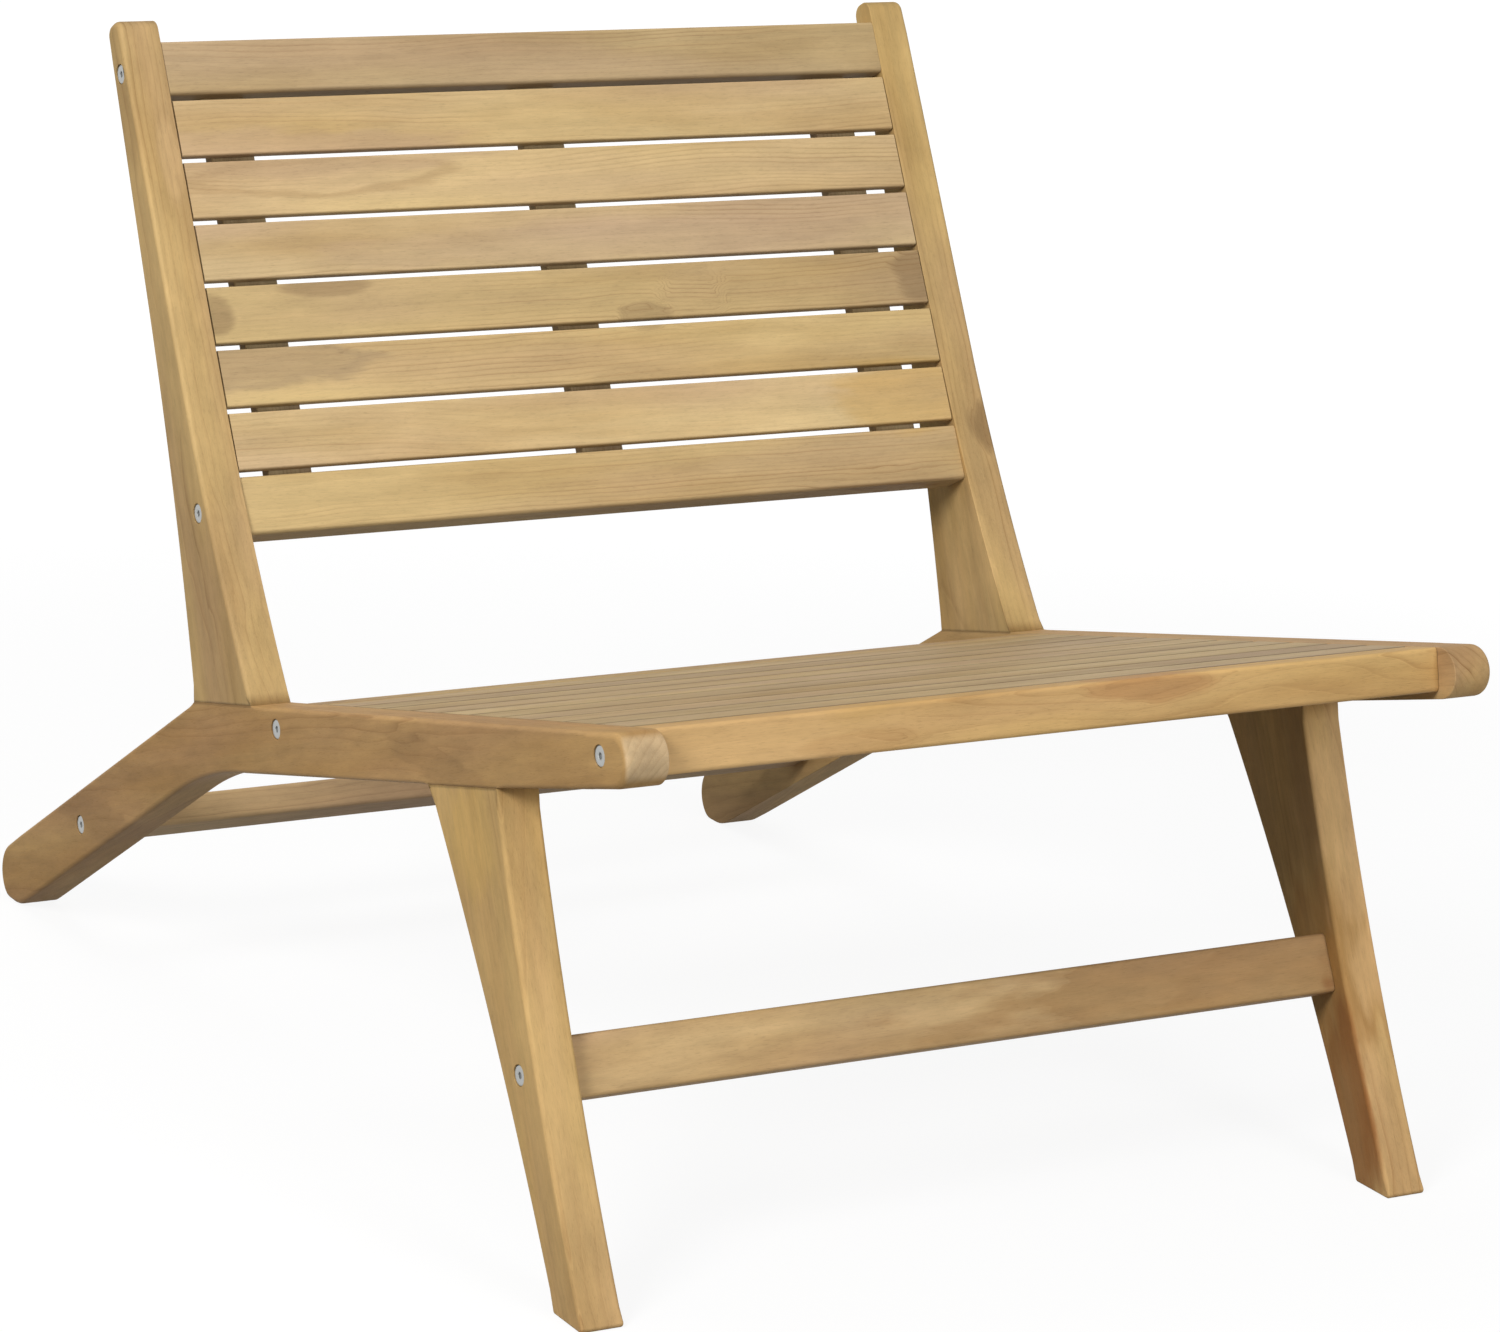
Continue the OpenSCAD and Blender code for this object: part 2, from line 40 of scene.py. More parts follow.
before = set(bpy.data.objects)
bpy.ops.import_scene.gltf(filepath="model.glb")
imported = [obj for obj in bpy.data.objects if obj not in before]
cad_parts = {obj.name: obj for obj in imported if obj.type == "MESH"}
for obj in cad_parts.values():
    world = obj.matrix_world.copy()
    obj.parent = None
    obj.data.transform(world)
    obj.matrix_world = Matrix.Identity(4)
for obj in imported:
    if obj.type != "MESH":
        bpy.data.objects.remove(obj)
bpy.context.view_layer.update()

# Sizes of the frame in millimetres and degrees. Side views are drawn as (y, z) points.
SHOULDER_PLACE, SHOULDER_HEIGHT = 134.415, 242.437
SEAT_WIDTH, BOARD = 580.0, 30.0
SEAT_TILT, REAR_DROP, BACK_LEAN = 13.2, 31.0, 28.4
ARM, ARM_ROOT, ARM_LEG, NOSE, NOSE_DEPTH = 627.0, 48.0, 40.0, 17.0, 33.34
REAR_LEG, REAR_WIDTH, BEND = 414.0, 48.0, 380.0
BACK_FOOT, UPRIGHT_BASE, UPRIGHT_TOP, UPRIGHT_MID = 77.0, 95.0, 21.0, 34.5
UPRIGHT_LENGTH, UPRIGHT_TURN, UPRIGHT_FLARE, UPRIGHT_CORNER = 492.9, 300.0, 204.0, 8.5
LEG_PLACE, LEG_TOP, LEG_FOOT, LEG_RAKE = 408.5, 95.0, 38.5, 169.5
UPRIGHT_HOLLOWS, LEG_HOLLOWS = (3.5, 5.0), (7.5, 6.5)
BACK_CLEAR, BACK_SLATS, BACK_SLAT, BACK_GAP = 118.0, 6, 41.4, 4.0
TOP_RAIL, BOTTOM_RAIL = (22.0, 39.5), (26.0, 41.5)
# Thickness of the slats, how far they stop short of the side frames, and how much lower the back's
# are here than in the frame
SLAT, SLAT_END, SLAT_SHY = 11.0, 0.8, 0.4
SEAT_RAIL, FRONT_SETBACK, REAR_SETBACK, SEAT_SLATS, SEAT_GAP = 29.0, 18.0, 24.1, 10, 2.9
BATTEN, BACK_BATTEN, SEAT_BATTEN, BATTEN_PLACE = 33.0, 11.0, 18.0, 246.0
STRETCHER, FRONT_STRETCHER, REAR_STRETCHER = 22.0, 40.0, 36.0
STRETCHER_LEAN, STRETCHER_HEIGHT, STRETCHER_FORWARD, STRETCHER_REACH = 27.0, 135.5, 498.930, 242.0
HEAD, HEAD_HEIGHT, HEAD_SINK, POCKET, SOCKET = 13.5, 3.0, 0.6, 13.9, 3.96
BOLT, BOLT_LENGTH, NUT, NUT_LENGTH, NUT_BORE, NUT_INSET = 6.0, 59.8, 10.0, 14.0, 10.2, 27.0
SCREW_HEAD, SCREW_CLEAR, SCREW_SINK = 7.0, 0.1, 0.9
# Length and diameter of the dowels, and how far those of the stretchers lie from their bolts
FRAME_PIN, STRETCHER_PIN, PIN_BESIDE = (60, 10), (30, 8), 11
# Directions of the grain in the side frames
RAIL_GRAIN, UPRIGHT_GRAIN, LEG_GRAIN = 18.0, BACK_LEAN - 3.0, 25.0

# Soft shading reaches FADE past an eased edge, and round ends keep a HAIR inside the frame
FADE, HAIR = 1.4, 0.06
# Share of the easing that the side rails and uprights get on their inner faces
FIRM = 0.18
# How far before a round end, and before the nose, the easing of a board's edge changes
END_REACH, NOSE_REACH = 26.0, 50.0
# Radius in front of the rear foot's sole, and the angle at which the round end leaves the sole
TOE, SOLE_LEAVES = 36.0, 45.0
SIDES = (("left", -1), ("right", 1))


def millimetres(value):
    return value * 0.001


def heading(degrees):
    """Unit vector that points back and down by an angle."""
    return Vector((math.cos(math.radians(degrees)), -math.sin(math.radians(degrees))))


def rising(degrees):
    """Unit vector square to a heading, on its upper side."""
    return Vector((math.sin(math.radians(degrees)), math.cos(math.radians(degrees))))


def seat_point(forward, down):
    return Vector((SHOULDER_PLACE, SHOULDER_HEIGHT)) - heading(SEAT_TILT) * forward - rising(SEAT_TILT) * down


def rear_point(back, down):
    return Vector((SHOULDER_PLACE, SHOULDER_HEIGHT)) + heading(REAR_DROP) * back - rising(REAR_DROP) * down


def back_point(back, up):
    return seat_point(BACK_FOOT, 0) + heading(BACK_LEAN) * back + rising(BACK_LEAN) * up


UNDER_SLOPE = (ARM_ROOT - ARM_LEG) / (LEG_PLACE + LEG_TOP / 2)


def under_arm(forward):
    """Point on the underside of the seat arm."""
    return seat_point(forward, ARM_ROOT - forward * UNDER_SLOPE)


def bow(start, finish, rise):
    """Points of a shallow arc that rises to the left of the line between its ends."""
    steps = 12
    along = (finish - start).normalized()
    left = Vector((-along.y, along.x))
    half = (finish - start).length / 2
    radius = (half * half + rise * rise) / (2 * rise)
    centre = (start + finish) / 2 + left * (rise - radius)
    reach = math.asin(half / radius)
    turns = [reach * i / steps for i in range(-steps, steps + 1)]
    return [centre + radius * (left * math.cos(t) + along * math.sin(t)) for t in turns]


# Places that follow from the sizes. The rows are the middles of the slats.
LEG_JOINT = [under_arm(LEG_PLACE - LEG_TOP / 2), under_arm(LEG_PLACE + LEG_TOP / 2)]
BACK_INNER = BACK_CLEAR + BOTTOM_RAIL[1]
BACK_PITCH = BACK_SLAT + BACK_GAP
BACK_TOP = BACK_INNER + BACK_SLATS * BACK_PITCH + BACK_GAP
BACK_ROWS = [BACK_TOP - BACK_GAP - BACK_SLAT / 2 - i * BACK_PITCH for i in range(BACK_SLATS)]
FRONT_RAIL = ARM - FRONT_SETBACK - SEAT_RAIL / 2
REAR_RAIL = UPRIGHT_BASE + REAR_SETBACK + SEAT_RAIL / 2
SEAT_PITCH = (FRONT_RAIL - REAR_RAIL - SEAT_RAIL - SEAT_GAP) / SEAT_SLATS
SEAT_SLAT = SEAT_PITCH - SEAT_GAP
SEAT_ROWS = [FRONT_RAIL - SEAT_RAIL / 2 - SEAT_GAP - SEAT_SLAT / 2 - i * SEAT_PITCH
             for i in range(SEAT_SLATS)]
FRONT_STRETCHER_PLACE = Vector((SHOULDER_PLACE - STRETCHER_FORWARD, STRETCHER_HEIGHT))
SLAT_LENGTH = SEAT_WIDTH - 2 * SLAT_END
NUT_PLACES = (NUT_INSET - SEAT_WIDTH / 2, SEAT_WIDTH / 2 - NUT_INSET)
BATTENS = (("left", -BATTEN_PLACE), ("middle", 0.0), ("right", BATTEN_PLACE))

# Sides of a cross piece in its own axes, back and up
BEHIND, UNDER, OVER = (1, 0), (0, -1), (0, 1)
# Cross pieces in the side view: centre, lean and the side where their nuts go in
CROSS_PIECES = {
    "back_top_rail": (back_point(TOP_RAIL[0] / 2, BACK_TOP + TOP_RAIL[1] / 2), BACK_LEAN, BEHIND),
    "back_bottom_rail": (back_point(BOTTOM_RAIL[0] / 2, BACK_CLEAR + BOTTOM_RAIL[1] / 2), BACK_LEAN, BEHIND),
    "seat_front_rail": (seat_point(FRONT_RAIL, SEAT_RAIL / 2), SEAT_TILT, UNDER),
    "seat_rear_rail": (seat_point(REAR_RAIL, SEAT_RAIL / 2), SEAT_TILT, UNDER),
    "front_stretcher": (FRONT_STRETCHER_PLACE, STRETCHER_LEAN, BEHIND),
    "rear_stretcher": (rear_point(STRETCHER_REACH, REAR_WIDTH / 2), REAR_DROP, OVER),
}


def a_length(name, description, default, low, high):
    """A length, with its default and limits given in millimetres."""
    return FloatProperty(
        name=name, description=description, default=millimetres(default),
        min=millimetres(low), max=millimetres(high), unit="LENGTH")


def a_colour(name, description, default):
    return FloatVectorProperty(
        name=name, description=description, default=default, size=3, min=0, max=1, subtype="COLOR")


def a_power(name, description, default):
    return FloatProperty(
        name=name, description=description, default=default, min=0, max=1000, unit="POWER")


class EdgeSettings(bpy.types.PropertyGroup):
    """How far the corners of the boards and bars are eased."""

    board_edge: a_length("Board edge", "Radius along the edges of the side frames", 3.2, 0.5, 6)
    round_end: a_length("Round ends", "Radius across the noses, rear feet and upright tops", 4.2, 0.5, 8)
    foot_edge: a_length("Foot edge", "Radius round the bottom of the front legs", 1.6, 0.3, 4)
    bar_edge: a_length("Bar edge", "Radius along the edges of rails and stretchers", 3.0, 0.5, 5)
    slat_edge: a_length("Back slat edge", "Radius along the front edges of the back slats", 1.6, 0.5, 4)
    slat_rear: a_length("Back slat rear edge", "Radius along the rear edges of the back slats", 5.2, 0.5, 6)
    seat_edge: a_length("Seat slat edge", "Radius along the edges of the seat slats", 2.0, 0.5, 5)
    batten_edge: a_length("Batten edge", "Radius along the edges of the battens", 1.2, 0.3, 3)
    joint_edge: a_length("Joint edge", "Radius of the small groove where two pieces meet", 0.5, 0.1, 2)


class WoodSettings(bpy.types.PropertyGroup):
    """Colours and figure of the teak."""

    light: a_colour("Light wood", "Colour of the pale wood between the rings", (0.650, 0.484, 0.240))
    brown: a_colour("Brown wood", "Colour of the broad darker streaks", (0.470, 0.312, 0.132))
    rosy: a_colour("Rosy wood", "Colour of the pinkish grey clouds", (0.545, 0.385, 0.232))
    line: a_colour("Ring line", "Colour of the thin line at the start of each ring", (0.270, 0.145, 0.058))
    spacing: a_length("Ring spacing", "Distance between two rings of the log", 3.6, 1, 12)
    relief: a_length("Relief", "Depth of the grain that can be felt", 0.12, 0, 1)
    gloss: FloatProperty(
        name="Roughness", description="Roughness of the oiled surface",
        default=0.60, min=0.2, max=0.9, subtype="FACTOR")


class MetalSettings(bpy.types.PropertyGroup):
    """Colours of the fasteners."""

    zinc: a_colour("Zinc", "Colour of the bright zinc of bolts, nuts and screws", (0.440, 0.450, 0.440))
    tarnish: a_colour("Tarnish", "Colour of the dull zinc in the sockets and slots", (0.270, 0.275, 0.270))


class StudioSettings(bpy.types.PropertyGroup):
    """Light of the studio."""

    key: a_power("Key light", "Power of the large soft light from the front left", 96.0)
    fill: a_power("Fill light", "Power of the soft light from the front right", 81.0)
    top: a_power("Top light", "Power of the soft light overhead", 22.0)
    ambient: FloatProperty(
        name="Ambient", description="Strength of the light from all round", default=0.24, min=0, max=2)


# Mesh building

# Where points are added at both ends of a long edge, and how fast the easing may change along it
LONG_EDGE, NEAR_END, EASE_GROWTH = 30.0, (1.5, 4.0, 8.0, 13.0), 0.28
# Corners that are rounder or turn less than this get no wear and no painted highlight
SMALL_RADIUS, SHARP_TURN = 6.0, 0.8
# Steps across an eased edge, and how near a bore has to lie to the middle of the face it goes in
EDGE_STEPS, BORE_MATCH = 5, 0.6


def edge_sizes(*names):
    """Radii from the panel, in millimetres."""
    edges = bpy.context.scene.chair_edges
    return [getattr(edges, name) * 1000 for name in names]


class OutlinePoint:
    """One point of a section: where it is, which way it faces and how its edge is eased."""

    def __init__(self, place, normal=None, ease=0.0, centre=None, radius=0.0, mitre=None, wear=0.0,
                 joint=False):
        self.place, self.normal, self.ease = place, normal, ease
        self.centre, self.radius, self.mitre = centre, radius, mitre
        self.wear, self.joint, self.painted_shade = wear, joint, 0.0

    def inset(self, depth):
        """The point moved into the section by a depth, without crossing over in a tight corner."""
        tip = 0.02
        if self.mitre is None or depth < self.radius - tip:
            return self.place - self.normal * depth
        return self.centre - self.mitre * (depth - self.radius + tip) + self.normal * tip


def rounded(corners):
    """Closed outline from corners: point, radius, ease of the edge that follows, joint or not."""
    fewest = 6
    made = []
    for i, (place, radius, ease, joint) in enumerate(corners):
        before, after = corners[i - 1], corners[(i + 1) % len(corners)]
        into, out = (place - before[0]).normalized(), (after[0] - place).normalized()
        turn = math.atan2(into.x * out.y - into.y * out.x, into.dot(out))
        if radius == 0 or abs(turn) < 1e-4:
            made.append(OutlinePoint(place, ease=ease, joint=joint))
            continue
        side = 1 if turn > 0 else -1
        reach = radius * math.tan(abs(turn) / 2)
        start_normal = Vector((into.y, -into.x))
        centre = place - into * reach - start_normal * radius * side
        mitre = None
        if turn > 0:
            mitre = (place - centre).normalized() / math.sin((math.pi - turn) / 2)
        # Small sharp corners are painted lighter across their arc: wear and painted highlight
        worn_and_highlit = radius < SMALL_RADIUS and turn > SHARP_TURN
        arcs = max(fewest, int(abs(turn) * math.sqrt(radius) * 2))
        for k in range(arcs + 1):
            normal = Matrix.Rotation(turn * k / arcs, 2) @ start_normal
            wear = math.sin(math.pi * k / arcs) if worn_and_highlit else 0.0
            last = k == arcs
            made.append(OutlinePoint(
                centre + normal * radius * side, normal, ease if last else min(ease, before[2]),
                centre, radius, mitre, wear, joint if last else False))
    return steadied(made)


def steadied(points):
    """Adds points near the ends of long straight edges, then works out normals and easing."""
    made = []
    for a, b in zip(points, points[1:] + points[:1]):
        made.append(a)
        gap = b.place - a.place
        if gap.length < LONG_EDGE:
            continue
        along = gap.normalized()
        normal = Vector((along.y, -along.x))
        spots = [a.place + along * step for step in NEAR_END]
        spots += [b.place - along * step for step in reversed(NEAR_END)]
        made += [OutlinePoint(spot, normal, a.ease, joint=a.joint) for spot in spots]
    count = len(made)
    for i, point in enumerate(made):
        if point.normal is None:
            into = (point.place - made[i - 1].place).normalized()
            out = (made[(i + 1) % count].place - point.place).normalized()
            point.normal = Vector((into.y + out.y, -into.x - out.x)).normalized()
    eases = [min(p.ease, made[i - 1].ease) for i, p in enumerate(made)]
    steps = [(made[(i + 1) % count].place - made[i].place).length for i in range(count)]
    for _ in range(2):
        for i in range(count):
            eases[i] = min(eases[i], eases[i - 1] + EASE_GROWTH * steps[i - 1])
        for i in reversed(range(count)):
            eases[i] = min(eases[i], eases[(i + 1) % count] + EASE_GROWTH * steps[i])
    joints = [p.joint or made[i - 1].joint for i, p in enumerate(made)]
    for point, ease, joint in zip(made, eases, joints):
        point.ease, point.joint = ease, joint
    return made


def rectangle(depth, height, radius, ease, rear=None):
    """Section of a bar, depth along y and height along z. Its rear edges may have their own radius."""
    rear = radius if rear is None else rear
    corners = ((-1, -1, radius), (1, -1, rear), (1, 1, rear), (-1, 1, radius))
    return rounded([(Vector((y * depth / 2, z * height / 2)), r, ease, False) for y, z, r in corners])


class Shape:
    """Collects the points and faces of one piece, in millimetres, before they become a mesh."""

    def __init__(self, place):
        self.points, self.normals, self.marks, self.faces = [], [], [], []
        self.move_to(place)

    def move_to(self, place):
        self.place, self.turn = place, place.to_3x3()

    def add(self, point, normal, wear=0.0, joint=0.0):
        self.points.append(self.place @ Vector(point))
        self.normals.append((self.turn @ Vector(normal)).normalized())
        self.marks.append((wear, joint))
        return len(self.points) - 1

    def face(self, corners):
        """Adds a face and turns it so that it looks the way its points face."""
        a, b, c = (self.points[i] for i in (corners[0], corners[1], corners[-1]))
        facing = sum((self.normals[i] for i in corners), Vector())
        self.faces.append(corners if (b - a).cross(c - a).dot(facing) > 0 else corners[::-1])

    def bridge(self, ring, other):
        for i in range(len(ring)):
            self.face([ring[i - 1], ring[i], other[i], other[i - 1]])

    def fill(self, outer, holes=()):
        loops = [outer, *holes]
        flat = [i for loop in loops for i in loop]
        for triangle in tessellate_polygon([[self.points[i] for i in loop] for loop in loops]):
            self.face([flat[i] for i in triangle])

    def bore(self, centre, axis, radius, depth, sides=32):
        """A round hole with a softened rim and a floor. Returns the loop to leave open for it."""
        # The walls and floor of a bore are painted darker: painted shade in the hole
        rounding, wall_shade, floor_shade = 0.35, 0.5, 0.7
        axis, centre = Vector(axis), Vector(centre)
        across = Vector((0, 1, 0)) if abs(axis.x) > 0.5 else Vector((1, 0, 0))
        other = axis.cross(across)
        first = 0.11 + 0.09 * math.sin(sum(centre))  # keeps the points of a row of bores off one line
        spokes = [across * math.cos(t) + other * math.sin(t)
                  for t in (first + 2 * math.pi * i / sides for i in range(sides))]
        rim = [self.add(centre + s * (radius + rounding), axis) for s in spokes]
        lip = [self.add(centre + s * radius - axis * rounding, -s) for s in spokes]
        base = [self.add(centre + s * radius - axis * depth, -s, joint=wall_shade) for s in spokes]
        floor = [self.add(centre + s * radius - axis * depth, axis, joint=floor_shade) for s in spokes]
        self.bridge(rim, lip)
        self.bridge(lip, base)
        self.fill(floor)
        return rim

    def mesh(self, name, cut, tint):
        """The finished mesh, in metres, with its place in the log, its finish and its tint. The finish holds
        the end grain, the wear and painted highlight, and the joints and painted shade.
        """
        mesh = bpy.data.meshes.new(name)
        mesh.from_pydata([millimetres(p) for p in self.points], [], self.faces)
        mesh.update()
        mesh.shade_smooth()
        mesh.normals_split_custom_set_from_vertices(self.normals)
        log = [cut.in_log(p) for p in self.points]
        finish = [(abs(n.dot(cut.grain)), *marks) for n, marks in zip(self.normals, self.marks)]
        for label, rows in (("log", log), ("finish", finish), ("tint", [tint] * len(log))):
            layer = mesh.attributes.new(label, "FLOAT_VECTOR", "POINT")
            layer.data.foreach_set("vector", [value for row in rows for value in row])
        return mesh


class Cut:
    """Where a piece was sawn out of its log: its grain, the pith beside it and a small slant."""

    def __init__(self, grain, face, pith, slant, start):
        self.grain = Vector(grain).normalized()
        face = Vector(face).normalized()
        side = face.cross(self.grain)
        rows = Matrix((side, face, self.grain))
        self.rows = (Matrix.Rotation(math.radians(slant[0]), 3, "X")
                     @ Matrix.Rotation(math.radians(slant[1]), 3, "Y") @ rows)
        self.offset = Vector((*pith, start))

    def in_log(self, point):
        return millimetres(self.rows @ point + self.offset)


def prism(shape, outline, low, high, ends=(), sides=(), joint=0.0, firm=0):
    """A section drawn along x from low to high, with eased ends.

    Bores in the ends are given as side, centre, radius and depth, and those in the long faces as x,
    centre, axis, radius and depth. The end on the firm side, -1 or 1, is eased less."""
    inner = {}
    for side, end in ((-1, low), (1, high)):
        share = FIRM if side == firm else 1.0
        rings = [[shape.add((end - side * (p.ease * share + FADE), *p.place), (0, *p.normal), p.wear, p.painted_shade)
                  for p in outline]]
        for step in range(EDGE_STEPS + 1):
            arc = math.pi / 2 * step / EDGE_STEPS
            ring = []
            for p in outline:
                meets = max(joint, 1.0 if p.joint else 0.0)
                mark = max(p.painted_shade, meets * math.sin(arc) ** 2)
                # Ends are painted lighter halfway round their rounding: wear and painted highlight
                worn_and_highlit = max(p.wear, 0.0 if meets else math.sin(2 * arc))
                spot = p.inset(p.ease * share * (1 - math.cos(arc)))
                x = end - side * p.ease * share * (1 - math.sin(arc))
                facing = (side * math.sin(arc), *(p.normal * math.cos(arc)))
                ring.append(shape.add((x, *spot), facing, worn_and_highlit, mark))
            rings.append(ring)
        rings.append([shape.add((end, *p.inset(p.ease * share + FADE)), (side, 0, 0)) for p in outline])
        for ring, other in zip(rings, rings[1:]):
            shape.bridge(ring, other)
        holes = [shape.bore((end, *centre), (side, 0, 0), radius, depth)
                 for where, centre, radius, depth in ends if where == side]
        shape.fill(rings[-1], holes)
        inner[side] = rings[0]
    for i, p in enumerate(outline):
        j = (i + 1) % len(outline)
        corners = [inner[-1][i], inner[-1][j], inner[1][j], inner[1][i]]
        middle = (p.place + outline[j].place) / 2
        holes = [shape.bore((x, *middle), (0, *axis), radius, depth, sides=28)
                 for x, centre, axis, radius, depth in sides if (middle - Vector(centre)).length < BORE_MATCH]
        if holes:
            shape.fill(corners, holes)
        else:
            shape.face(corners)


def place_at(point, lean):
    """Local axes of a cross piece: x across the chair, y back and z up, leaning with its panel."""
    y, z = heading(lean), rising(lean)
    return Matrix(((1, 0, 0, 0), (0, y.x, z.x, point.x), (0, y.y, z.y, point.y), (0, 0, 0, 1)))


def strip_at(x, point, along, out):
    """Local axes of a batten: its length along its panel, its width across and its depth out."""
    return Matrix(((0, 1, 0, x), (along.x, 0, out.x, point.x), (along.y, 0, out.y, point.y), (0, 0, 0, 1)))


def finish_piece(name, mesh, material, node):
    """Links a piece, gives it its material and hands it to the frame."""
    piece = bpy.data.objects.new(name, mesh)
    bpy.context.scene.collection.objects.link(piece)
    mesh.materials.append(bpy.data.materials["finish_" + material])
    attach(piece, "root")
    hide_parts(node)


# Wood and metal


class Wire:
    """One socket of a node tree. Arithmetic on wires adds the Math nodes that work it out."""

    def __init__(self, tree, socket=None):
        self.tree, self.socket = tree, socket

    def node(self, kind, settings, values, output=0):
        """Adds one node: its settings first, then a value or a wire for each of its inputs."""
        made = self.tree.nodes.new(kind)
        for name, setting in settings.items():
            setattr(made, name, setting)
        for name, value in values.items():
            if isinstance(value, Wire):
                self.tree.links.new(value.socket, made.inputs[name])
            else:
                made.inputs[name].default_value = value
        return Wire(self.tree, made.outputs[output] if made.outputs else None)

    def maths(self, operation, first, second):
        return self.node("ShaderNodeMath", {"operation": operation}, {0: first, 1: second})

    def __add__(self, other):
        return self.maths("ADD", self, other)

    __radd__ = __add__

    def __sub__(self, other):
        return self.maths("SUBTRACT", self, other)

    def __rsub__(self, other):
        return self.maths("SUBTRACT", other, self)

    def __mul__(self, other):
        return self.maths("MULTIPLY", self, other)

    __rmul__ = __mul__

    def __truediv__(self, other):
        return self.maths("DIVIDE", self, other)

    def __pow__(self, other):
        return self.maths("POWER", self, other)

    def vector(self, operation, other, output=0):
        return self.node("ShaderNodeVectorMath", {"operation": operation}, {0: self, 1: other}, output)

    def length(self):
        return self.vector("LENGTH", (0, 0, 0), "Value")

    def dimmed(self, amount):
        """A colour times a number."""
        return self.node("ShaderNodeVectorMath", {"operation": "SCALE"}, {0: self, "Scale": amount})

    def mixed(self, first, second):
        """The first colour where this share is 0, and the second where it is 1."""
        ends = [end if isinstance(end, Wire) else (*end, 1) for end in (first, second)]
        return self.node("ShaderNodeMix", {"data_type": "RGBA"}, {0: self, 6: ends[0], 7: ends[1]}, 2)

    def attribute(self, name, output="Vector"):
        return self.node("ShaderNodeAttribute", {"attribute_name": name}, {}, output)

    def bumped(self, strength, distance):
        return self.node("ShaderNodeBump", {}, {"Strength": strength, "Distance": distance, "Height": self})

    def noise(self, scale, detail, roughness=0.5):
        stretched = self.vector("MULTIPLY", scale)
        return self.node("ShaderNodeTexNoise", {}, {
            "Vector": stretched, "Scale": 1.0, "Detail": detail, "Roughness": roughness})

    def between(self, low, high):
        """Rises smoothly from 0 at low to 1 at high."""
        return self.node("ShaderNodeMapRange", {"interpolation_type": "SMOOTHSTEP"}, {
            "Value": self, "From Min": low, "From Max": high})


def empty_tree(owner):
    owner.use_nodes = True
    owner.node_tree.nodes.clear()
    return Wire(owner.node_tree)


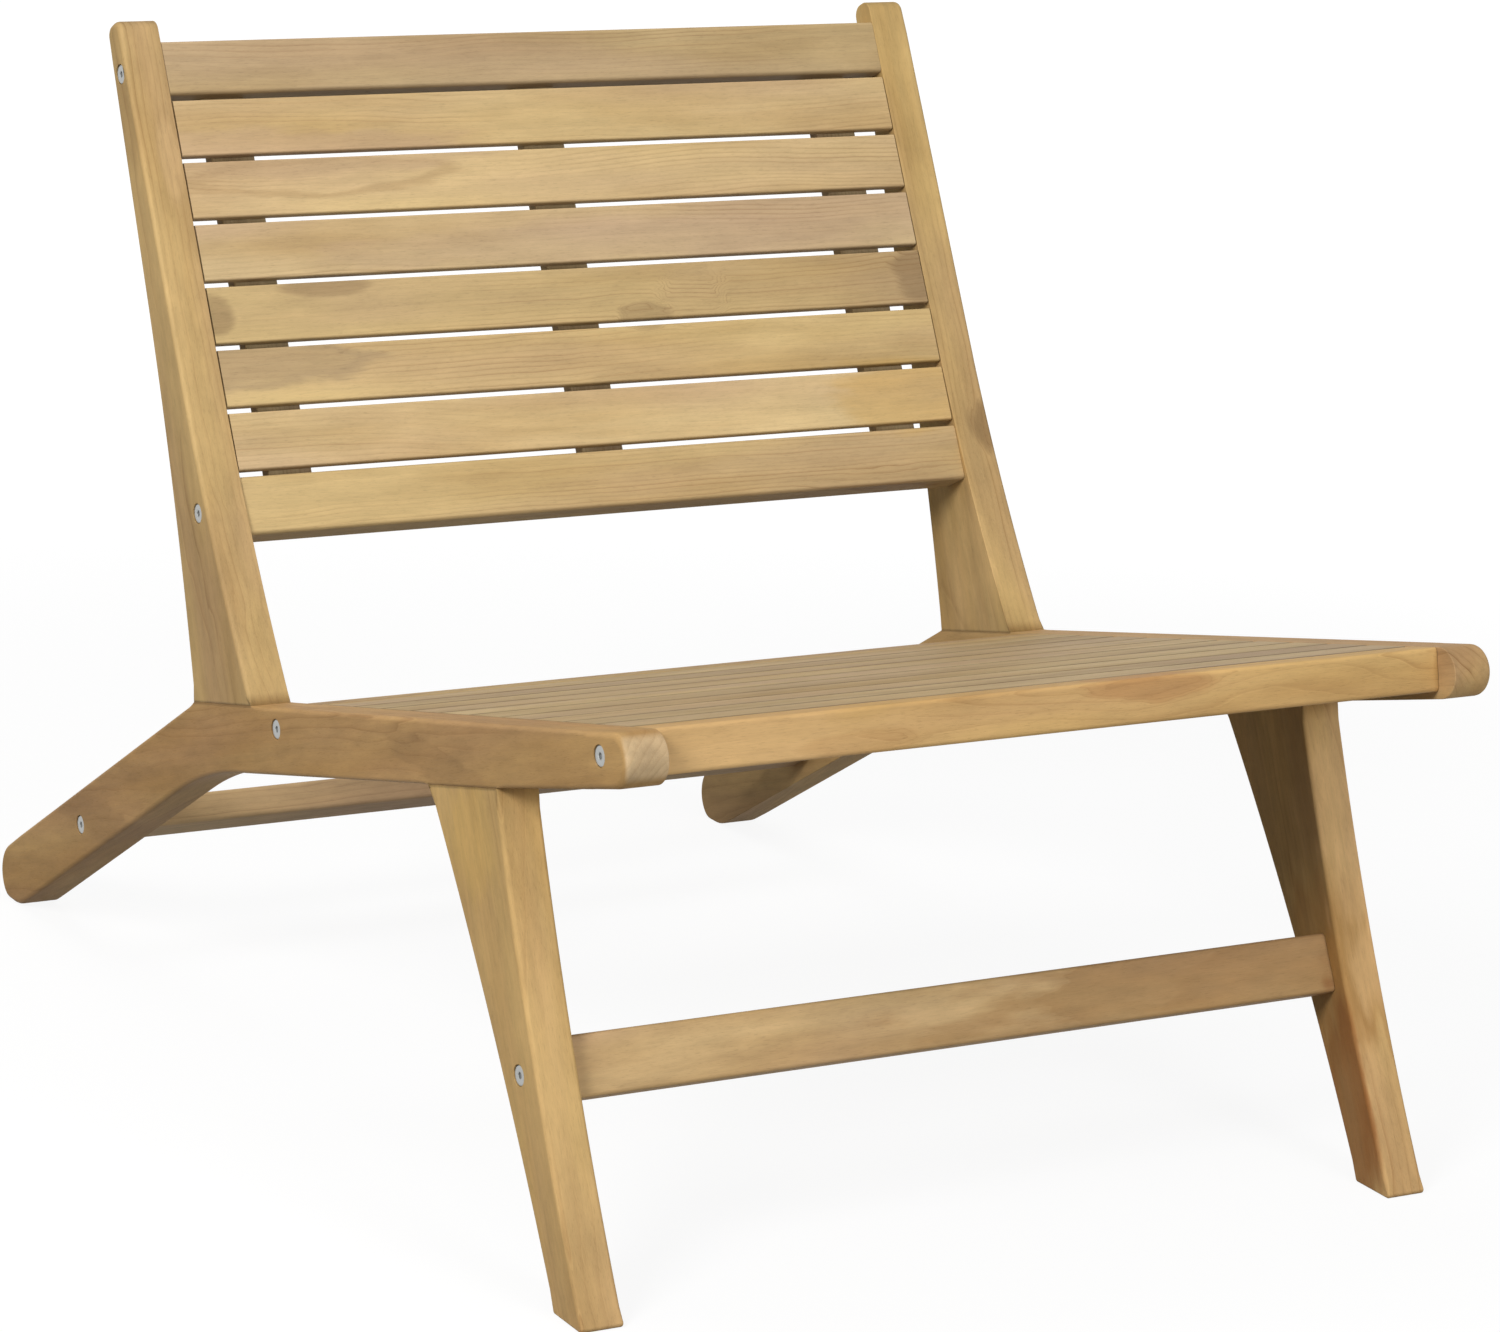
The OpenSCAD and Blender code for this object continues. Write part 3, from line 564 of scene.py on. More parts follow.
# Patches and knots on the boards of each material, some of them painted light and shade: middle and half
# sizes in metres, colour, strength, how far the rings swell round it, and how dark its border is
DARK, GREY, ROSY = (0.235, 0.150, 0.080), (0.330, 0.240, 0.150), (0.500, 0.345, 0.205)
PALE = (0.760, 0.550, 0.310)
FIGURES_AND_PAINTED_LIGHT = {
    "teak_light": [
        ((-0.190, 0.236, 0.588), (0.125, 0.05, 0.013), (0.400, 0.265, 0.130), 0.06, 0.004, 0.60),
        ((-0.287, 0.190, 0.501), (0.017, 0.05, 0.017), DARK, 0.50, 0.003, 0.1),
        ((-0.201, 0.196, 0.516), (0.040, 0.05, 0.008), DARK, 0.45, 0.002, 0.1),
        ((0.048, 0.183, 0.486), (0.024, 0.05, 0.010), DARK, 0.32, 0.012, 0.2),
        ((0.092, 0.186, 0.497), (0.030, 0.05, 0.024), ROSY, 0.10, 0.014, 0.0),
        ((0.284, 0.192, 0.503), (0.024, 0.05, 0.022), DARK, 0.50, 0.004, 0.0),
        ((-0.268, 0.173, 0.468), (0.100, 0.05, 0.016), GREY, 0.42, 0.004, 0.40),
        ((-0.215, 0.241, 0.603), (0.170, 0.05, 0.017), ROSY, 0.55, 0.006, 0.15),
        ((0.025, 0.209, 0.537), (0.270, 0.05, 0.017), ROSY, 0.30, 0.000, 0.0),
        ((0.225, 0.114, 0.362), (0.080, 0.05, 0.016), DARK, 0.14, 0.003, 0.0),
        ((0.262, 0.147, 0.422), (0.080, 0.05, 0.030), (0.560, 0.360, 0.120), 0.60, 0.000, 0.0),
    ],
    "teak": [
        ((0.318, 0.136, 0.401), (0.014, 0.04, 0.022), DARK, 0.60, 0.010, 0.1),
        # Darker right part of the front stretcher and the right leg beside it: partly the wood's tone, partly
        # painted shadow of the seat
        ((0.290, -0.372, 0.140), (0.330, 0.07, 0.070), (0.320, 0.175, 0.055), 0.56, 0.004, 0.0),
        ((-0.310, 0.100, 0.360), (0.030, 0.04, 0.060), ROSY, 0.18, 0.003, 0.0),
        ((-0.300, 0.246, 0.602), (0.012, 0.04, 0.036), PALE, 0.45, 0.000, 0.0),
        ((-0.322, 0.262, 0.634), (0.014, 0.04, 0.044), (0.260, 0.160, 0.070), 0.24, 0.000, 0.0),
        ((0.287, 0.092, 0.312), (0.008, 0.05, 0.080), PALE, 0.32, 0.000, 0.0),
        ((-0.322, -0.290, 0.268), (0.010, 0.04, 0.050), (0.740, 0.540, 0.190), 0.32, 0.000, 0.0),
        # Painted light on the front face of the right front leg, from its top down to the stretcher
        ((0.303, -0.344, 0.240), (0.060, 0.032, 0.044), PALE, 0.36, 0.000, 0.0),
        ((0.318, -0.366, 0.190), (0.030, 0.032, 0.042), PALE, 0.50, 0.000, 0.0),
        ((0.318, -0.390, 0.140), (0.027, 0.032, 0.042), PALE, 0.50, 0.000, 0.0),
        # Painted shade low on the inner face of the right front leg
        ((0.285, -0.410, 0.052), (0.0095, 0.068, 0.105), (0.290, 0.136, 0.047), 0.84, 0.000, 0.0),
    ],
    "teak_dark": [
        ((-0.320, -0.240, 0.300), (0.030, 0.09, 0.012), DARK, 0.22, 0.004, 0.1),
        ((-0.320, 0.290, 0.110), (0.030, 0.10, 0.020), DARK, 0.20, 0.003, 0.0),
        # Painted shade over the front part of the left side rail's outer face
        ((-0.320, -0.330, 0.335), (0.030, 0.17, 0.050), DARK, 0.16, 0.000, 0.0),
    ],
    "teak_grey": [],
    "teak_gold": [
        ((0.065, -0.460, 0.376), (0.052, 0.05, 0.010), (0.360, 0.180, 0.080), 0.42, 0.006, 0.1),
        ((-0.250, -0.463, 0.364), (0.150, 0.05, 0.060), (0.640, 0.470, 0.270), 0.55, 0.000, 0.0),
        ((-0.145, -0.463, 0.360), (0.045, 0.05, 0.010), (0.400, 0.250, 0.110), 0.25, 0.008, 0.2),
    ],
}
# Paler end grain on the left nose: middle and half sizes in metres, colour and strength
END_GRAIN = {"teak_dark": ((-0.305, -0.484, 0.368), (0.060, 0.050, 0.050), (0.900, 0.790, 0.570), 0.75)}


def near(place, middle, reach, rough):
    """1 at the middle of a patch and 0 outside it, with a border that wanders along the grain."""
    wander, inner, outer = 1.2, 0.55, 1.06
    away = place.vector("SUBTRACT", middle).vector("DIVIDE", reach).length()
    return 1 - (away + (rough - 0.5) * wander).between(inner, outer)


def teak(name, contrast, spread, clouds):
    """Teak as rings round a pith, with streaks, fibres, pores, patches and knots. It also carries painted
    light: highlights on the eased edges along with their wear, shade in bores, under rails and slats and in
    gaps, and some light and dark patches.
    """
    look = bpy.context.scene.chair_wood
    start = empty_tree(bpy.data.materials.new("finish_" + name))
    log, tint, finish = (start.attribute(word) for word in ("log", "tint", "finish"))
    end, wear, joint = (finish.node("ShaderNodeSeparateXYZ", {}, {0: finish}, i) for i in range(3))
    place = start.node("ShaderNodeTexCoord", {}, {}, "Object")

    # Rings, whose radius drifts along the board and swells round a knot
    drift = log.noise((8, 8, 2.4), 2.0)
    ripple = log.noise((42, 42, 11), 2.0)
    radius = log.vector("MULTIPLY", (1, 1, 0)).length() + (drift - 0.5) * 0.036 + (ripple - 0.5) * 0.0062
    rough = log.noise((75, 75, 16), 3.0)
    masks = [(near(place, middle, reach, rough), *rest) for middle, reach, *rest in FIGURES_AND_PAINTED_LIGHT[name]]
    for mask, _, _, swell, _ in masks:
        if swell:
            radius = radius + mask * swell
    turns = radius / (look.spacing * spread)
    whole = turns.node("ShaderNodeMath", {"operation": "FLOOR"}, {0: turns})
    part = turns - whole
    own = whole.node("ShaderNodeTexWhiteNoise", {"noise_dimensions": "1D"}, {"W": whole})
    line = (1 - part) ** 3.5 * part.between(0.0, 0.12)
    late = part * part

    # Noises stretched along the grain, from the broadest to the finest
    plain = log.noise((16, 16, 3.0), 2.0).between(0.38, 0.64)
    rosy = log.noise((17, 17, 3.0), 2.0).between(0.40, 0.68)
    patch = log.noise((24, 24, 3.2), 3.0, 0.55).between(0.38, 0.72)
    cloud = log.noise((40, 40, 9), 3.0, 0.6)
    mottle = log.noise((120, 120, 34), 3.0, 0.6)
    streak = log.noise((300, 300, 9), 3.0, 0.6)
    fibre = log.noise((1200, 1200, 46), 2.0, 0.6)
    pore = log.noise((2600, 2600, 170), 1.0).between(0.58, 0.72)

    body = (patch * 0.72).mixed(look.light, look.brown)
    body = (rosy * 0.58).mixed(body, look.rosy)
    ink = line * (own * 0.7 + 0.3) * (plain * 0.80 + 0.10) + late * plain * 0.14
    body = (ink * (end * 0.7 + contrast)).mixed(body, look.line)
    # Patches and knots, with the painted light and shade among them
    for mask, colour, strength, _, border in masks:
        share = mask * (cloud + 0.5) * strength + mask * (1 - mask) * (3 * border)
        body = share.mixed(body, colour)
    if name in END_GRAIN:
        middle, reach, colour, strength = END_GRAIN[name]
        share = near(place, middle, reach, rough) * end.between(0.45, 0.85) * (1 - line * 0.35) * strength
        body = share.mixed(body, colour)
    shade = 1 + (own - 0.5) * (0.06 * contrast) + (cloud - 0.5) * (0.34 * clouds)
    shade = shade + (mottle - 0.5) * (0.20 * clouds) + (streak - 0.5) * 0.10 + (fibre - 0.5) * 0.18
    # The joint mark darkens where pieces meet, and it also paints shade in bores, under rails and slats, in
    # the gaps of the seat and on the battens. The wear mark lightens edges as wear and painted highlight.
    shade = shade - pore * 0.12 - end * 0.20 + wear * 0.05 - joint * 0.45
    body = body.dimmed(shade).vector("MULTIPLY", tint)

    relief = fibre * 0.5 + streak * 0.3 - pore * 0.6 - line * 0.25
    dull = look.gloss + (fibre - 0.5) * 0.16 + pore * 0.12 - wear * 0.06 + end * 0.1
    shader = body.node("ShaderNodeBsdfPrincipled", {}, {
        "Base Color": body, "Roughness": dull, "Specular IOR Level": 0.12,
        "Normal": relief.bumped(0.6, look.relief)})
    shader.node("ShaderNodeOutputMaterial", {}, {"Surface": shader})


def zinc():
    """Bright zinc with a fine spangle, duller in its recesses."""
    look = bpy.context.scene.chair_metal
    start = empty_tree(bpy.data.materials.new("finish_zinc"))
    place = start.node("ShaderNodeTexCoord", {}, {}, "Object")
    dull = start.attribute("dull", "Fac")
    spangle = place.noise((700, 700, 700), 3.0, 0.6)
    scuff = place.noise((2600, 900, 2600), 1.0)
    body = (dull + (spangle - 0.5) * 0.5).between(0.0, 1.0).mixed(look.zinc, look.tarnish)
    shader = body.node("ShaderNodeBsdfPrincipled", {}, {
        "Base Color": body, "Metallic": 0.85, "Roughness": 0.30 + spangle * 0.15 + dull * 0.25,
        "Normal": (scuff + spangle).bumped(0.25, 0.0001)})
    shader.node("ShaderNodeOutputMaterial", {}, {"Surface": shader})


# Kinds of teak: contrast of the rings, spread between them and strength of the clouds
WOODS = {
    "teak_light": (1.0, 1.0, 1.0), "teak": (0.85, 1.25, 1.6), "teak_dark": (0.7, 1.3, 1.8),
    "teak_grey": (1.0, 0.9, 1.2), "teak_gold": (0.9, 0.9, 1.1)}


class CHAIR_OT_materials(bpy.types.Operator):
    """Mixes the teak and the zinc"""

    bl_idname = "chair.materials"
    bl_label = "Materials"

    def execute(self, context):
        for name, look in WOODS.items():
            teak(name, *look)
        zinc()
        return {"FINISHED"}


# Boards: tint, pith of the log beside the board and slant of the cut. Their starts lie LOG_STEP apart.
LOG_STEP = 900
BOARDS = {
    "side_rail_left": ((0.82, 0.69, 0.57), (20, 55), (1.0, 0.6)),
    "side_rail_right": ((0.92, 0.81, 0.71), (-35, 60), (-0.8, 0.7)),
    "upright_left": ((0.90, 0.83, 0.73), (30, 70), (0.9, -0.5)),
    "upright_right": ((0.95, 0.88, 0.73), (-22, 48), (1.1, 0.4)),
    "front_leg_left": ((0.97, 0.87, 0.71), (26, 62), (-1.2, 0.6)),
    "front_leg_right": ((1.00, 0.88, 0.73), (-30, 52), (0.9, 0.8)),
    "back_top_rail": ((0.87, 0.86, 0.90), (38, 70), (0.5, 0.3)),
    "back_bottom_rail": ((0.97, 0.95, 0.91), (3, 38), (1.2, -0.4)),
    "back_slat_1": ((1.08, 1.07, 1.07), (25, 60), (0.6, 0.5)),
    "back_slat_2": ((1.09, 1.08, 1.07), (6, 52), (-1.0, 0.4)),
    "back_slat_3": ((0.99, 0.99, 1.08), (45, 60), (0.4, 0.3)),
    "back_slat_4": ((0.92, 0.90, 0.87), (4, 40), (1.2, 0.5)),
    "back_slat_5": ((1.05, 1.04, 0.98), (-6, 46), (-1.3, 0.4)),
    "back_slat_6": ((1.08, 1.08, 1.12), (2, 42), (1.4, -0.5)),
    "seat_front_rail": ((0.98, 0.85, 0.68), (30, 60), (0.6, 0.4)),
    "seat_rear_rail": ((0.80, 0.76, 0.72), (20, 66), (0.6, 0.3)),
    "front_stretcher": ((0.94, 0.87, 0.86), (12, 42), (0.8, 0.4)),
    "rear_stretcher": ((0.88, 0.82, 0.86), (-14, 60), (0.5, 0.5)),
}


def board_facts(node):
    """Tint, pith, slant and start of a board. The ones that aren't listed take a spread of them."""
    if node in BOARDS:
        return (*BOARDS[node], LOG_STEP * list(BOARDS).index(node))
    step = sum(ord(letter) * (i + 1) for i, letter in enumerate(node))
    shade = 0.80 + 0.14 * ((step * 7) % 10) / 10
    pith = ((step * 13) % 50 - 25, 34 + (step * 5) % 60)
    # The bluish grey cast of these tints is painted sheen: it stands for the grey sheen on the top of the
    # seat slats
    return (shade * 0.98, shade * 0.99, shade * 1.08), pith, (0.4 + (step % 7) * 0.12, 0.4), step * 37


def wood_piece(shape, name, node, grain, face, material):
    """Saws a shape out of its log as the piece that stands for a node."""
    tint, pith, slant, start = board_facts(node)
    mesh = shape.mesh(node + "_wood", Cut(grain, face, pith, slant, start), tint)
    finish_piece(name, mesh, material, node)


# Side frames


def plain(points, ease):
    """Corners of an outline that have no radius."""
    return [(point, 0, ease, False) for point in points]


def rail_outline():
    edge, joint, round_end = edge_sizes("board_edge", "joint_edge", "round_end")
    turn = math.radians(REAR_DROP - SEAT_TILT)
    corner = under_arm((REAR_WIDTH / math.cos(turn) - ARM_ROOT) / (math.tan(turn) - UNDER_SLOPE))
    foot = REAR_WIDTH / 2
    heel = rear_point(REAR_LEG - foot, foot)
    steps, first, sweep = 18, SOLE_LEAVES - 90, 180 - REAR_DROP - SOLE_LEAVES
    angles = [math.radians(first + sweep * i / steps) for i in range(steps + 1)]
    around = [heel + Vector((math.cos(a), math.sin(a))) * (foot - HAIR) for a in angles]
    toe = rear_point(REAR_LEG, REAR_WIDTH - HAIR)
    toe -= heading(REAR_DROP) * (HAIR - toe.y) / math.sin(math.radians(REAR_DROP))
    sole = around[0] - Vector((1, 1)) * (around[0].y - HAIR)
    nearly = 0.98  # leaves a short straight piece at both ends of the rounding
    sole_round = (around[0] - sole).length / math.tan(math.radians(SOLE_LEAVES / 2)) * nearly
    blend = ARM - NOSE_REACH
    fall = (blend - LEG_PLACE - LEG_TOP / 2) / (ARM - LEG_PLACE - LEG_TOP / 2)
    ends = REAR_LEG - foot - END_REACH
    return rounded([
        (seat_point(0, 0), 0, joint, True),
        (seat_point(UPRIGHT_BASE, 0), 0, edge, False),
        (seat_point(blend, 0), 0, round_end, False),
        (seat_point(ARM - HAIR, 0), NOSE, round_end, False),
        (seat_point(ARM - HAIR, NOSE_DEPTH - HAIR), NOSE - HAIR, round_end, False),
        (seat_point(blend, ARM_LEG - (ARM_LEG - NOSE_DEPTH) * fall), 0, edge, False),
        (LEG_JOINT[1], 0, joint, True),
        (LEG_JOINT[0], 0, edge, False),
        (corner, BEND, edge, False),
        (rear_point(ends, REAR_WIDTH), 0, round_end, False),
        (toe, TOE, round_end, False),
        (sole, sole_round, round_end, False),
        *plain(around, round_end),
        (rear_point(ends, 0), 0, edge, False),
    ])


def upright_outline():
    edge, joint, round_end = edge_sizes("board_edge", "joint_edge", "round_end")
    top, ends = UPRIGHT_LENGTH, UPRIGHT_LENGTH - END_REACH
    rear = bow(seat_point(0, 0), back_point(UPRIGHT_MID, UPRIGHT_TURN), UPRIGHT_HOLLOWS[1])
    front = bow(back_point(0, UPRIGHT_FLARE), seat_point(UPRIGHT_BASE, 0), UPRIGHT_HOLLOWS[0])
    taper = (UPRIGHT_TOP - UPRIGHT_MID) * (ends - UPRIGHT_TURN) / (top - UPRIGHT_CORNER - UPRIGHT_TURN)
    return rounded([
        *plain(rear, edge),
        (back_point(UPRIGHT_MID + taper, ends), 0, round_end, False),
        (back_point(UPRIGHT_TOP, top), UPRIGHT_CORNER, round_end, False),
        (back_point(0, top), UPRIGHT_CORNER, round_end, False),
        (back_point(0, ends), 0, edge, False),
        *plain(front[:-1], edge),
        (front[-1], 0, joint, True),
    ])


def leg_outline():
    edge, joint, foot = edge_sizes("board_edge", "joint_edge", "foot_edge")
    corner = 2.5
    ground = under_arm(LEG_PLACE).x - LEG_RAKE
    rear = bow(Vector((ground + LEG_FOOT / 2, 0)), LEG_JOINT[0], LEG_HOLLOWS[1])
    front = bow(LEG_JOINT[1], Vector((ground - LEG_FOOT / 2, 0)), LEG_HOLLOWS[0])
    return rounded([
        (rear[0], corner, edge, False),
        *plain(rear[1:-1], edge),
        (rear[-1], 0, joint, True),
        *plain(front[:-1], edge),
        (front[-1], corner, foot, False),
    ])


def side_boards(name, node, outline, bolted, grain, material, firm=True):
    """Both boards of a kind, with a pocket for the head of each bolt in their outer faces."""
    for word, side in SIDES:
        shape = Shape(Matrix.Identity(4))
        inner = side * SEAT_WIDTH / 2
        low, high = sorted((inner, inner + side * BOARD))
        pockets = [(side, CROSS_PIECES[piece][0], POCKET / 2, HEAD_HEIGHT + HEAD_SINK) for piece in bolted]
        prism(shape, outline, low, high, pockets, firm=-side if firm else 0)
        wood_piece(shape, f"{name}_{word}", f"{node}_{word}", (0, *grain), (-side, 0, 0), material)


class CHAIR_OT_side_rails(bpy.types.Operator):
    """Builds the two bent side rails"""

    bl_idname = "chair.side_rails"
    bl_label = "Side Rails"

    def execute(self, context):
        bolted = ("seat_front_rail", "seat_rear_rail", "rear_stretcher")
        side_boards("rail_board", "side_rail", rail_outline(), bolted, -heading(RAIL_GRAIN), "teak_dark")
        return {"FINISHED"}


class CHAIR_OT_uprights(bpy.types.Operator):
    """Builds the two uprights of the back"""

    bl_idname = "chair.uprights"
    bl_label = "Uprights"

    def execute(self, context):
        bolted = ("back_top_rail", "back_bottom_rail")
        side_boards("upright_board", "upright", upright_outline(), bolted, rising(UPRIGHT_GRAIN), "teak")
        return {"FINISHED"}


class CHAIR_OT_front_legs(bpy.types.Operator):
    """Builds the two front legs"""

    bl_idname = "chair.front_legs"
    bl_label = "Front Legs"

    def execute(self, context):
        bolted = ("front_stretcher",)
        side_boards("leg_board", "front_leg", leg_outline(), bolted, rising(LEG_GRAIN), "teak", firm=False)
        return {"FINISHED"}


# Cross pieces

# Share of the easing at the ends of slats, how fast the painted shade grows, and the space behind a nut
SLAT_EASE, SHADE_GROWTH, NUT_SPACE = 0.6, 1.6, 0.8
# Painted shade on the faces of the battens that lie against the slats
BATTEN_SHADE = 0.6


def bar(name, node, cross, depth, height, length, material, painted_shade=(), edge="bar_edge"):
    """A straight bar across the chair, with bores for its nuts where its place names a side for them.

    Painted shade is given as rows of side, strength and how soon it starts; it darkens those sides of the bar
    as if they lay in shadow."""
    place, lean, nuts = cross
    radius, joint, slat_rear = edge_sizes(edge, "joint_edge", "slat_rear")
    shape = Shape(place_at(place, lean))
    ease = joint if edge == "bar_edge" else joint * SLAT_EASE
    section = rectangle(depth, height, radius, ease, slat_rear if edge == "slat_edge" else None)
    for point in section:
        # Painted shade: the sides named here are darkened as if they lay in shadow
        for way, amount, power in painted_shade:
            share = max(0.0, point.normal.dot(Vector(way))) ** power
            point.painted_shade = max(point.painted_shade, amount * min(1.0, SHADE_GROWTH * share))
    bores = []
    if nuts is not None:
        total = depth if nuts == BEHIND else height
        middle = (nuts[0] * total / 2, nuts[1] * total / 2)
        sunk = total / 2 - NUT_LENGTH / 2 + NUT_SPACE
        bores = [(x, middle, nuts, NUT_BORE / 2, sunk) for x in NUT_PLACES]
    prism(shape, section, -length / 2, length / 2, sides=bores, joint=1.0)
    face = (0, *(rising(lean) if depth > height else heading(lean)))
    wood_piece(shape, name, node, (1, 0, 0), face, material)


def cross_bar(name, node, depth, height, material, slot=None, painted_shade=()):
    bar(name, node, CROSS_PIECES[node], depth, height, SEAT_WIDTH, material, painted_shade)


class CHAIR_OT_back_rails(bpy.types.Operator):
    """Builds the top and bottom rail of the back"""

    bl_idname = "chair.back_rails"
    bl_label = "Back Rails"

    def execute(self, context):
        # Painted shade under the top and bottom rails of the back
        cross_bar("top_rail_bar", "back_top_rail", *TOP_RAIL, "teak_light", "teak", [(UNDER, 0.8, 1.5)])
        cross_bar("bottom_rail_bar", "back_bottom_rail", *BOTTOM_RAIL, "teak_light",
                  painted_shade=[(UNDER, 0.7, 1.5)])
        return {"FINISHED"}


class CHAIR_OT_back_slats(bpy.types.Operator):
    """Builds the slats of the back"""

    bl_idname = "chair.back_slats"
    bl_label = "Back Slats"

    def execute(self, context):
        for i, row in enumerate(BACK_ROWS, 1):
            cross = (back_point(SLAT / 2, row), BACK_LEAN, None)
            # Painted shade under each back slat
            bar(f"back_slat_bar_{i}", f"back_slat_{i}", cross, SLAT, BACK_SLAT - SLAT_SHY, SLAT_LENGTH,
                "teak_light", painted_shade=[(UNDER, 0.8, 1.5)], edge="slat_edge")
        return {"FINISHED"}


def battens(panel, point, along, out, depth, length, screws, sense):
    """The three battens of a panel, with a countersunk bore over each screw."""
    radius, joint = edge_sizes("batten_edge", "joint_edge")
    for word, x in BATTENS:
        shape = Shape(strip_at(x, point, along, out))
        bores = [(screw, (0, sense * depth / 2), (0, sense), SCREW_HEAD / 2 + SCREW_CLEAR, SCREW_SINK)
                 for screw in screws]
        section = rectangle(BATTEN, depth, radius, joint)
        prism(shape, section, -length / 2, length / 2, sides=bores, joint=1.0)
        # The face against the slats is painted darker: painted shade
        inward = -(shape.turn @ Vector((0, 0, sense)))
        shape.marks = [(wear, max(mark, BATTEN_SHADE if n.dot(inward) > 0.8 else 0.0))
                       for n, (wear, mark) in zip(shape.normals, shape.marks)]
        name, node = f"{panel}_strip_{word}", f"{panel}_batten_{word}"
        wood_piece(shape, name, node, (0, *along), (0, *out), "teak_grey")


class CHAIR_OT_back_battens(bpy.types.Operator):
    """Builds the battens behind the slats of the back"""

    bl_idname = "chair.back_battens"
    bl_label = "Back Battens"

    def execute(self, context):
        middle = (BACK_INNER + BACK_TOP) / 2
        point = back_point(SLAT + BACK_BATTEN / 2, middle)
        screws = [row - middle for row in BACK_ROWS]
        battens("back", point, rising(BACK_LEAN), heading(BACK_LEAN), BACK_BATTEN,
                BACK_TOP - BACK_INNER, screws, 1)
        return {"FINISHED"}


class CHAIR_OT_seat_rails(bpy.types.Operator):
    """Builds the front and rear rail of the seat"""

    bl_idname = "chair.seat_rails"
    bl_label = "Seat Rails"

    def execute(self, context):
        cross_bar("front_rail_bar", "seat_front_rail", SEAT_RAIL, SEAT_RAIL, "teak_gold")
        cross_bar("rear_rail_bar", "seat_rear_rail", SEAT_RAIL, SEAT_RAIL, "teak_grey")
        return {"FINISHED"}


class CHAIR_OT_seat_slats(bpy.types.Operator):
    """Builds the slats of the seat"""

    bl_idname = "chair.seat_slats"
    bl_label = "Seat Slats"

    def execute(self, context):
        for i, row in enumerate(SEAT_ROWS, 1):
            cross = (seat_point(row, SLAT / 2), SEAT_TILT, None)
            # Painted shade on the sides of the seat slats, in the gaps between them
            bar(f"seat_slat_bar_{i}", f"seat_slat_{i}", cross, SEAT_SLAT, SLAT, SLAT_LENGTH,
                "teak_grey", painted_shade=[((-1, 0), 1.0, 0.5), ((1, 0), 1.0, 0.5)], edge="seat_edge")
        return {"FINISHED"}


class CHAIR_OT_seat_battens(bpy.types.Operator):
    """Builds the battens under the seat"""

    bl_idname = "chair.seat_battens"
    bl_label = "Seat Battens"

    def execute(self, context):
        middle = (FRONT_RAIL + REAR_RAIL) / 2
        point = seat_point(middle, SLAT + SEAT_BATTEN / 2)
        screws = [middle - row for row in SEAT_ROWS]
        battens("seat", point, heading(SEAT_TILT), rising(SEAT_TILT), SEAT_BATTEN,
                FRONT_RAIL - REAR_RAIL - SEAT_RAIL, screws, -1)
        return {"FINISHED"}


class CHAIR_OT_stretchers(bpy.types.Operator):
    """Builds the front and rear stretcher"""

    bl_idname = "chair.stretchers"
    bl_label = "Stretchers"

    def execute(self, context):
        cross_bar("front_stretcher_bar", "front_stretcher", STRETCHER, FRONT_STRETCHER, "teak")
        cross_bar("rear_stretcher_bar", "rear_stretcher", REAR_STRETCHER, STRETCHER, "teak_dark")
        return {"FINISHED"}


# Fasteners


def turned_axes(centre, axis):
    """Axes of a turned piece: x along it and out of the wood."""
    out = Vector(axis).normalized()
    across = Vector((0, 0, 1)) if abs(out.z) < 0.8 else Vector((0, 1, 0))
    side = across.cross(out).normalized()
    up = out.cross(side)
    return Matrix(((out.x, side.x, up.x, centre[0]), (out.y, side.y, up.y, centre[1]),
                   (out.z, side.z, up.z, centre[2]), (0, 0, 0, 1)))


def round_angles(sides):
    return [2 * math.pi * i / sides for i in range(sides)]


def circle(radius, sides):
    return [(radius * math.cos(t), radius * math.sin(t)) for t in round_angles(sides)]


def hexagon(width, sides):
    reaches = [width / 2 / math.cos(t % (math.pi / 3) - math.pi / 6) for t in round_angles(sides)]
    return [(reach * math.cos(t), reach * math.sin(t)) for reach, t in zip(reaches, round_angles(sides))]


class Turning(Shape):
    """A metal mesh of rings round local x. Its faces are turned outwards when it is finished."""

    def __init__(self):
        super().__init__(Matrix.Identity(4))

    def face(self, corners):
        self.faces.append(corners)

    def ring(self, x, loop, dull=0.0):
        return [self.add((x, *spot), (1, 0, 0), joint=dull) for spot in loop]

    def skin(self, rings):
        """Joins rings and closes the inner end."""
        for ring, other in zip(rings, rings[1:]):
            self.bridge(ring, other)
        self.fill(rings[0])

    def recessed(self, profile, top, bottom, sides, depth, shade, dull=0.0):
        """A body turned along a profile, with a recess in its outer end between two outlines."""
        rings = [self.ring(x, circle(radius, sides), dull) for x, radius in profile]
        rim, base = self.ring(0, top, shade), self.ring(-depth, bottom, 1.0)
        self.skin(rings)
        self.fill(rings[-1], [rim])
        self.bridge(rim, base)
        self.fill(base)

    def finish(self, name, node):
        mesh = bpy.data.meshes.new(name + "_metal")
        mesh.from_pydata([millimetres(p) for p in self.points], [], self.faces)
        mesh.update()
        work = bmesh.new()
        work.from_mesh(mesh)
        bmesh.ops.recalc_face_normals(work, faces=work.faces)
        work.to_mesh(mesh)
        work.free()
        mesh.shade_smooth()
        mesh.set_sharp_from_angle(angle=math.radians(SHARP_EDGE))
        layer = mesh.attributes.new("dull", "FLOAT", "POINT")
        layer.data.foreach_set("value", [dull for _, dull in self.marks])
        finish_piece(name, mesh, "zinc", node)


